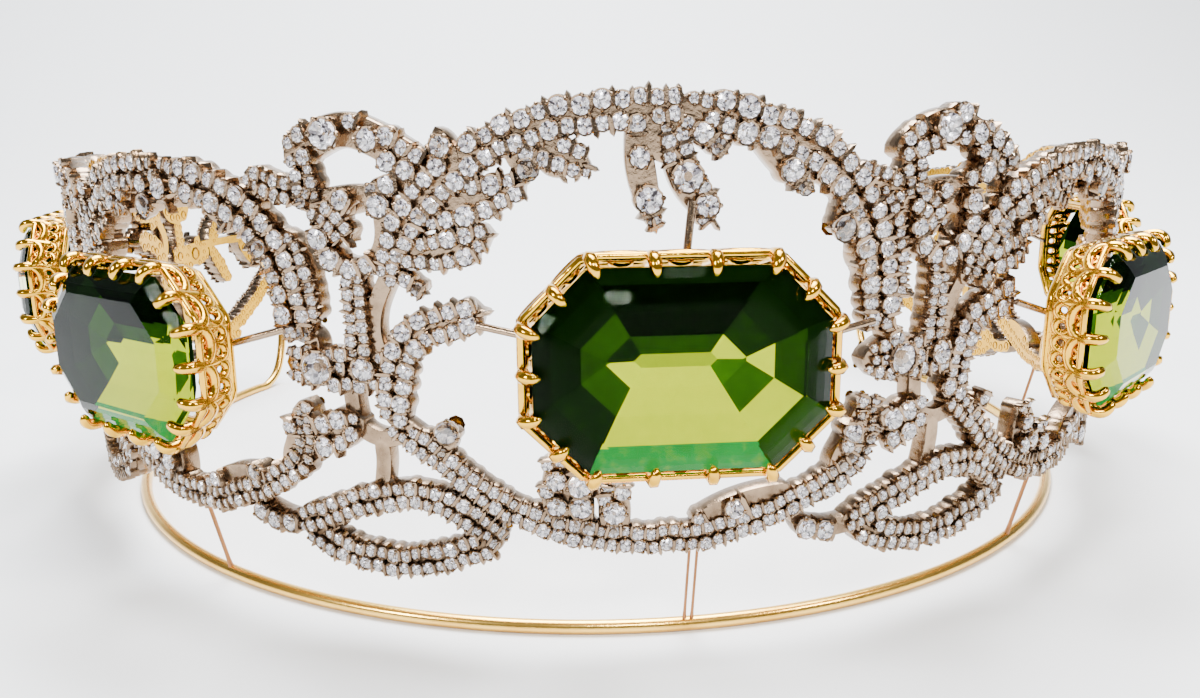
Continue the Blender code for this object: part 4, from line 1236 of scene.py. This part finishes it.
@dataclass
class Setting:
    """The gold gallery of one peridot, with its claws and pins, and the stone itself."""

    band: Band
    wreath: Wreath
    width: float = 0.0274
    height: float = 0.0190
    corner: float = 0.0051
    depth: float = 0.0056
    girdle: float = 0.0004
    crown: float = 0.0019
    pavilion: float = 0.0050
    wall: float = 0.0014
    taper: float = 0.0013
    claws: tuple[int, ...] = (1, 3, 1, 4, 1, 3, 1, 4)
    pin_radius: float = 0.00040

    def __post_init__(self) -> None:
        """Works out where the setting's flat back lies."""
        top = self.band.stone_line + self.height / 2 + 0.0011
        self.seat = self.band.radius + self.band.lean * top + self.band.thickness + self.band.relief + 0.0009

    def octagon(self, out: float) -> list[tuple[float, float]]:
        """Corners of the stone's outline, this far outside its girdle."""
        x, z, cut = self.width / 2 + out, self.height / 2 + out, self.corner + 0.6 * out
        return [(x - cut, z), (x, z - cut), (x, cut - z), (x - cut, -z),
                (cut - x, -z), (-x, cut - z), (-x, z - cut), (cut - x, z)]

    def placed(self, x: float, depth: float, z: float) -> Vector:
        """A point of the setting: sideways, out from the head's axis, and up from the stone line."""
        share, seat = self.wreath.stone_share, self.seat
        x, z = x * share, z * share
        depth = seat + (depth - seat) * share
        angle = self.wreath.place * self.band.pitch
        point = Matrix.Rotation(angle, 3, "Z") @ Vector((x, -depth, 0.0))
        return point + Vector((0, self.band.centre_y, self.band.stone_line - self.wreath.stone_drop + z))

    def rim(self, side: float, out: float, depth: float) -> Vector:
        """A point on the gallery, by side of the octagon and share of it, reach and depth."""
        corners = self.octagon(out)
        index = int(math.floor(side)) % 8
        share = side - math.floor(side)
        (x0, z0), (x1, z1) = corners[index], corners[(index + 1) % 8]
        return self.placed(x0 + (x1 - x0) * share, depth, z0 + (z1 - z0) * share)

    def claw_places(self) -> list[float]:
        """Where the claws stand: side of the octagon plus share of the side."""
        places = []
        corners = [Vector(corner) for corner in self.octagon(self.wall)]
        for side, count in enumerate(self.claws):
            length = (corners[(side + 1) % 8] - corners[side]).length
            first = 0.00055 / length if count > 1 else 0.5
            places += [side + first + (1 - 2 * first) * index / max(1, count - 1) for index in range(count)]
        return places

    def rail(self, out: float, depth: float) -> list[Vector]:
        """A closed rail round the gallery with soft corners."""
        return [self.rim(side + share, out, depth) for side in range(8)
                for share in (0.06, 0.3, 0.5, 0.7, 0.94)]

    def build_gallery(self, bench: Bench) -> bpy.types.Object:
        """The rails, the arches and ovals between them, and the claws."""
        paths = Paths()
        seat, girdle = self.seat, self.seat + self.depth
        low, high = self.wall - self.taper - 0.0004, self.wall - 0.0005
        paths.add(self.rail(low, seat + 0.0006), 0.00060, True)
        paths.add(self.rail(low + 0.0002, seat + 0.0013), 0.00050, True)
        paths.add(self.rail(high, girdle - 0.0007), 0.00040, True)
        middle_out, middle = (low + high) / 2 + 0.0001, seat + 0.0034
        places = self.claw_places()
        for place, following in zip(places, places[1:] + [places[0] + 8]):
            span = following - place

            def across(share: float, out: float, depth: float) -> Vector:
                """A point between two claws."""
                return self.rim(place + span * share, out, depth)

            spring = girdle - 0.0004
            arch = [across(0.5 - 0.5 * math.cos(math.pi * step / 10), middle_out + 0.0003,
                           spring - (spring - middle) * math.sin(math.pi * step / 10) ** 0.8)
                    for step in range(11)]
            paths.add(arch, 0.00062)
            for centre, reach, depth, half in ((0.25, 0.22, 0.0024, 0.0009), (0.75, 0.22, 0.0024, 0.0009),
                                               (0.5, 0.15, 0.0038, 0.0007)):
                oval = [across(centre + reach * math.cos(math.tau * step / 12), middle_out - 0.0001,
                               seat + depth + half * math.sin(math.tau * step / 12)) for step in range(12)]
                paths.add(oval, 0.00048, True)
        for place in places:
            self.add_claw(paths, place)
        return paths.draw(f"setting_{self.wreath.suffix}_gallery", bench.wire, 6, bench.finish["gold"])

    def add_claw(self, paths: Paths, place: float) -> None:
        """A claw from the base rail up the gallery and over the stone, with a rounded tip."""
        seat, girdle = self.seat, self.seat + self.depth
        # depth and reach of places on the claw's middle line, from its foot to its tip
        knots = ((seat + 0.0004, -0.0004), (seat + 0.0022, 0.0001), (girdle - 0.0012, 0.0007),
                 (girdle + 0.0002, 0.0009), (girdle + 0.0009, 0.0007), (girdle + 0.0014, 0.0001),
                 (girdle + 0.0015, -0.0007))
        depths = smooth_line(np.array(knots), 0.00030)
        count = len(depths)
        shares = np.linspace(0, 1, count)
        radii = np.interp(shares, (0, 0.4, 0.66, 0.80, 0.92, 0.97, 1.0),
                          (0.00050, 0.00060, 0.00070, 0.00068, 0.00056, 0.00044, 0.00016))
        paths.add([self.rim(place, out, depth) for depth, out in depths], [float(radius) for radius in radii])

    def build_pins(self, bench: Bench) -> bpy.types.Object:
        """The silver pins from the base rail to the wreath."""
        paths = Paths()
        band, wreath = self.band, self.wreath
        # each pin's two ends on the sheet: at the gallery, and on the wreath
        pins = (((-12.6, 34.6), (-18.6, 35.5)), ((12.6, 33.7), (21.0, 34.7)))
        if wreath.is_front:
            pins += (((1.1, 42.0), (1.7, 47.4)),)
        for (u0, z0), (u1, z1) in pins:
            start = self.placed(band.along(u0), self.seat + 0.0006,
                                band.height(z0, FRONT_RISE) - band.stone_line)
            height = band.height(z1, wreath.rise)
            angle = wreath.place * band.pitch + band.along(u1) * wreath.spread / band.mean_radius
            radius = band.radius + band.lean * height + band.thickness + band.relief + 0.0008
            end = band.polar(angle, radius, height)
            paths.add([start.lerp(end, step / 6) for step in range(7)], self.pin_radius)
        return paths.draw(f"setting_{wreath.suffix}_pins", bench.wire, 8, bench.finish["silver"])

    def build_peridot(self, bench: Bench) -> list[bpy.types.Object]:
        """The step-cut stone: a clear crown over a pavilion of facets painted in several steps of light and
        shade.

        Args:
            bench: the finishes.

        Returns:
            The crown and the pavilion.
        """
        girdle = self.seat + self.depth
        top = girdle + self.girdle
        crown = [self.level(shrink, top + self.crown * share)
                 for shrink, share in ((0.0, 0.0), (0.09, 0.40), (0.19, 0.75), (0.30, 1.0))]
        deep = [self.level(shrink, girdle - self.pavilion * share)
                for shrink, share in ((0.0, 0.0), (0.22, 0.34), (0.48, 0.66), (0.74, 0.90), (0.93, 1.0))]
        faces = []
        for level in range(len(crown) - 1):
            faces += [(level * 8 + index, level * 8 + (index + 1) % 8,
                       level * 8 + 8 + (index + 1) % 8, level * 8 + 8 + index) for index in range(8)]
        faces.append(tuple(range(24, 32)))
        name = f"peridot_{self.wreath.suffix}"
        front = mesh_object(name + "_crown", [point for ring in [deep[0]] + crown for point in ring],
                            [(index, (index + 1) % 8, 8 + (index + 1) % 8, 8 + index) for index in range(8)]
                            + [tuple(corner + 8 for corner in face) for face in faces],
                            (bench.finish["peridot"],))
        faces, tones = [], []
        # painted light and shade of the sides from the upper right corner side on, clockwise, from girdle to
        # keel
        side_painted_brightness = ((0.12, 0.20, 0.24, 0.90), (0.22, 0.30, 0.96, 0.40), (0.34, 0.95, 0.42, 0.46),
                      (0.60, 0.97, 1.00, 0.98), (0.14, 0.22, 0.36, 0.97), (0.06, 0.12, 0.30, 0.40),
                      (0.10, 0.16, 0.34, 0.22), (0.18, 0.04, 0.02, 0.30))
        for level in range(len(deep) - 1):
            for index in range(8):
                faces.append((level * 8 + index, level * 8 + 8 + index,
                              level * 8 + 8 + (index + 1) % 8, level * 8 + (index + 1) % 8))
                tones.append(side_painted_brightness[index][level])
        faces.append(tuple(range(39, 31, -1)))
        # the keel facet, painted bright
        tones.append(0.98)
        back = mesh_object(name + "_pavilion", [point for ring in deep for point in ring], faces,
                           (bench.finish["peridot_back"],))
        tone = back.data.attributes.new("tone", "FLOAT", "FACE")
        tone.data.foreach_set("value", tones)
        centre = self.placed(0.0, girdle - 0.0015, 0.0)
        for piece in (front, back):
            self.face_away(piece, centre)
        return [front, back]

    def level(self, shrink: float, depth: float) -> list[Vector]:
        """One outline of the stone: the share of its size taken away, and its depth."""
        less = self.height * shrink / 2
        x, z = self.width / 2 - less, self.height / 2 - less
        cut = self.corner * (1 - shrink * 0.75)
        corners = ((x - cut, z), (x, z - cut), (x, cut - z), (x - cut, -z),
                   (cut - x, -z), (-x, cut - z), (-x, z - cut), (cut - x, z))
        return [self.placed(across, depth, up) for across, up in corners]

    @staticmethod
    def face_away(piece: bpy.types.Object, centre: Vector) -> None:
        """Turns every face away from a point inside the stone."""
        work = bmesh.new()
        work.from_mesh(piece.data)
        for face in work.faces:
            if face.normal.dot(face.calc_center_median() - centre) < 0:
                face.normal_flip()
        work.to_mesh(piece.data)
        work.free()


@dataclass
class BaseFrame:
    """The base wire with its ends that rise to the band, and its posts."""

    band: Band
    ring_radius: float = 0.0750
    wire_radius: float = 0.0008
    reach: float = math.radians(118.0)
    end_height: float = 0.0205
    post_places: tuple[float, ...] = (-2.02, -1.03, 0.055, 0.98, 2.0)
    front_post: int = 2
    post_radius: float = 0.00026

    def build(self, bench: Bench) -> tuple[bpy.types.Object, bpy.types.Object]:
        """Draws the wire, and the posts with a fillet of solder at each joint.

        Args:
            bench: the band, the trees and the finishes.

        Returns:
            The wire and the posts.
        """
        band = self.band
        paths = Paths()
        low = self.wire_radius * math.cos(math.pi / 8)
        ring = [band.polar(self.reach * index / 60, self.ring_radius, low) for index in range(61)]
        foot = band.radius + band.lean * self.end_height + band.thickness / 2
        knots = [ring[-2], ring[-1]]
        for along, up in ((0.30, 0.10), (0.52, 0.32), (0.66, 0.62), (0.74, 1.0)):
            azimuth = self.reach + (band.reach - self.reach) * along
            knots.append(band.polar(azimuth, self.ring_radius + (foot - self.ring_radius) * up,
                                    low + (self.end_height - low) * up))
        end = smooth_line(np.array([tuple(knot) for knot in knots]), 0.0008)
        right = [tuple(point) for point in ring[:-2]] + [tuple(point) for point in end]
        left = [(-x, y, z) for x, y, z in right[:0:-1]]
        paths.add(left + right, self.wire_radius)
        wire = paths.draw("base_wire", bench.wire, 12, bench.finish["wire"])
        posts = Paths()
        top = band.height(SWAG_FOOT, FRONT_RISE) - 0.0003
        foot = band.radius + band.lean * top + band.thickness / 2
        for index, place in enumerate(self.post_places):
            azimuth = place * band.pitch
            # the front post is a pair of thinner wires
            paired = index == self.front_post
            radius = self.post_radius * (0.65 if paired else 1.0)
            for offset in (-0.0055, 0.0055) if paired else (0.0,):
                start = band.polar(azimuth + offset, self.ring_radius, low)
                end = band.polar(azimuth + offset, foot, top)
                count = 14
                posts.add([start.lerp(end, step / count) for step in range(count + 1)],
                          [radius * (1 + 1.1 * math.exp(-step / 0.8) + 0.8 * math.exp((step - count) / 0.9))
                           for step in range(count + 1)])
        return wire, posts.draw("base_posts", bench.wire, 8, bench.finish["oxide"])


# The studio

@dataclass(frozen=True)
class Studio:
    """Pale floor, soft lights and the camera, whose place is measured from the head's axis."""

    centre_y: float
    lens: float = 30.0
    sensor: float = 36.0
    camera_place: tuple[float, float, float] = (-0.01593, -0.17377, 0.0549)
    pitch: float = math.radians(13.04)
    roll: float = math.radians(-0.53)
    heading: float = math.radians(5.5)

    def build(self) -> None:
        """Builds the stage, the lights and the camera."""
        self.floor()
        self.lights()
        self.camera()

    def floor(self) -> None:
        """A floor that curves up into a backdrop far behind."""
        profile = [(-1.6, 0.0), (0.25, 0.0)]
        profile += [(0.25 + 0.6 * math.sin(angle), 0.6 - 0.6 * math.cos(angle))
                    for angle in (math.pi / 2 * step / 16 for step in range(1, 17))]
        profile += [(0.85, 2.0)]
        points = [(x, y, z) for y, z in profile for x in (-2.6, 2.6)]
        faces = [(2 * index, 2 * index + 1, 2 * index + 3, 2 * index + 2)
                 for index in range(len(profile) - 1)]
        floor = mesh_object("floor", points, faces, (Plaster("floor_paint", "#EEF0F2").make(),))
        smooth_by_angle(floor, 60.0)

    def lights(self) -> None:
        """A broad light above and behind, two at the front, and a pale surround."""
        world = bpy.data.worlds.new("studio")
        world.use_nodes = True
        background = world.node_tree.nodes["Background"]
        background.inputs["Color"].default_value = linear("#D5DAE2")
        background.inputs["Strength"].default_value = 0.30
        bpy.context.scene.world = world
        for name, place, size, power, colour in (
                ("light_above", (0.10, 0.10, 0.80), 0.60, 16.0, "#FFFFFF"),
                ("light_backdrop", (0.0, 0.35, 1.00), 0.60, 26.0, "#F7FAFF"),
                ("light_left", (-0.50, -0.40, 0.38), 0.12, 3.5, "#FFFFFF"),
                ("light_right", (0.45, -0.38, 0.48), 0.10, 3.0, "#FFF3E2"),
                ("light_front", (0.05, -0.70, 0.60), 0.10, 3.0, "#FFFFFF")):
            lamp = bpy.data.lights.new(name, "AREA")
            lamp.shape = "SQUARE"
            lamp.size = size
            lamp.energy = power
            lamp.color = linear(colour)[:3]
            holder = bpy.data.objects.new(name, lamp)
            holder.location = place
            aim = Vector((0, self.centre_y - 0.05, 0.03)) - Vector(place)
            holder.rotation_euler = aim.to_track_quat("-Z", "Y").to_euler()
            bpy.context.scene.collection.objects.link(holder)

    def camera(self) -> None:
        """The camera, a hand's breadth in front of the front stone, a little to its left."""
        lens = bpy.data.cameras.new("camera")
        lens.lens = self.lens
        lens.sensor_width = self.sensor
        lens.clip_start = 0.005
        camera = bpy.data.objects.new("camera", lens)
        ahead = Vector((0, math.cos(self.pitch), -math.sin(self.pitch)))
        up = Vector((0, math.sin(self.pitch), math.cos(self.pitch)))
        right = Vector((1, 0, 0))
        rolled_right = right * math.cos(self.roll) + up * math.sin(self.roll)
        rolled_up = up * math.cos(self.roll) - right * math.sin(self.roll)
        turn = Matrix.Rotation(-self.heading, 3, "Z")
        axes = [turn @ rolled_right, turn @ rolled_up, turn @ -ahead]
        place = Vector((0, self.centre_y, 0)) + Vector(self.camera_place)
        camera.matrix_world = Matrix.Translation(place) @ Matrix(axes).transposed().to_4x4()
        bpy.context.scene.collection.objects.link(camera)
        bpy.context.scene.camera = camera


# Assembly

class Tiara:
    """The whole tiara: builds its sub-assemblies in order and hands them to the frame."""

    # From the head's axis to the front stone's table
    table_reach = 0.089224

    def __init__(self, frame: dict[str, Any]) -> None:
        """Sets up the bench.
        """
        self.frame = frame
        band = Band(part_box("peridot_front")[0][1] + self.table_reach)
        self.bench = Bench(band, Mounting(), SetOnPoints(), WireAlongPath(), Finishes().made())

    def keep(self, piece: bpy.types.Object, slot: str, *nodes: str) -> None:
        """Lets a piece ride on the body and hides the nodes it stands for."""
        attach(piece, "root")
        if nodes:
            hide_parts(*nodes)
        LOG.info("%s: %d faces", piece.name, len(piece.data.polygons))

    def build(self) -> None:
        """Builds every sub-assembly."""
        band, bench = self.bench.band, self.bench
        slots = {"plate": "tarnished_silver", "crowns": "diamond", "pavilions": "diamond",
                 "collets": "tarnished_silver", "beads": "tarnished_silver", "bars": "tarnished_silver",
                 "seats": "yellow_gold"}
        sections = [wreath_section(band, wreath) for wreath in WREATHS]
        sections += [knot_section(band, knot) for knot in KNOTS]
        for section in sections:
            small = [stone.node for stone in section.loose if stone.node]
            nodes = [node if node in self.frame["nodes"] else f"{node}_{section.name}" for node in small]
            for piece in section.build(bench):
                part = piece.name.rsplit("_", 1)[1]
                stands_for = (section.name,) if part == "plate" else tuple(nodes) if part == "crowns" else ()
                self.keep(piece, slots[part], *stands_for)
        for wreath in WREATHS:
            setting = Setting(band, wreath)
            self.keep(setting.build_gallery(bench), "yellow_gold", "setting_" + wreath.suffix)
            self.keep(setting.build_pins(bench), "tarnished_silver")
            crown, pavilion = setting.build_peridot(bench)
            self.keep(crown, "peridot", "peridot_" + wreath.suffix)
            self.keep(pavilion, "peridot")
        wire, posts = BaseFrame(band).build(bench)
        self.keep(wire, "pale_gold_wire", "base_frame")
        self.keep(posts, "pale_gold_wire")
        bench.mounting.discard()


def main() -> None:
    """Loads the frame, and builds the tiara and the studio."""
    logging.basicConfig(level=logging.INFO, format="%(name)s %(message)s")
    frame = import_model()
    tiara = Tiara(frame)
    tiara.build()
    Studio(tiara.bench.band.centre_y).build()


if __name__ == "__main__":
    main()
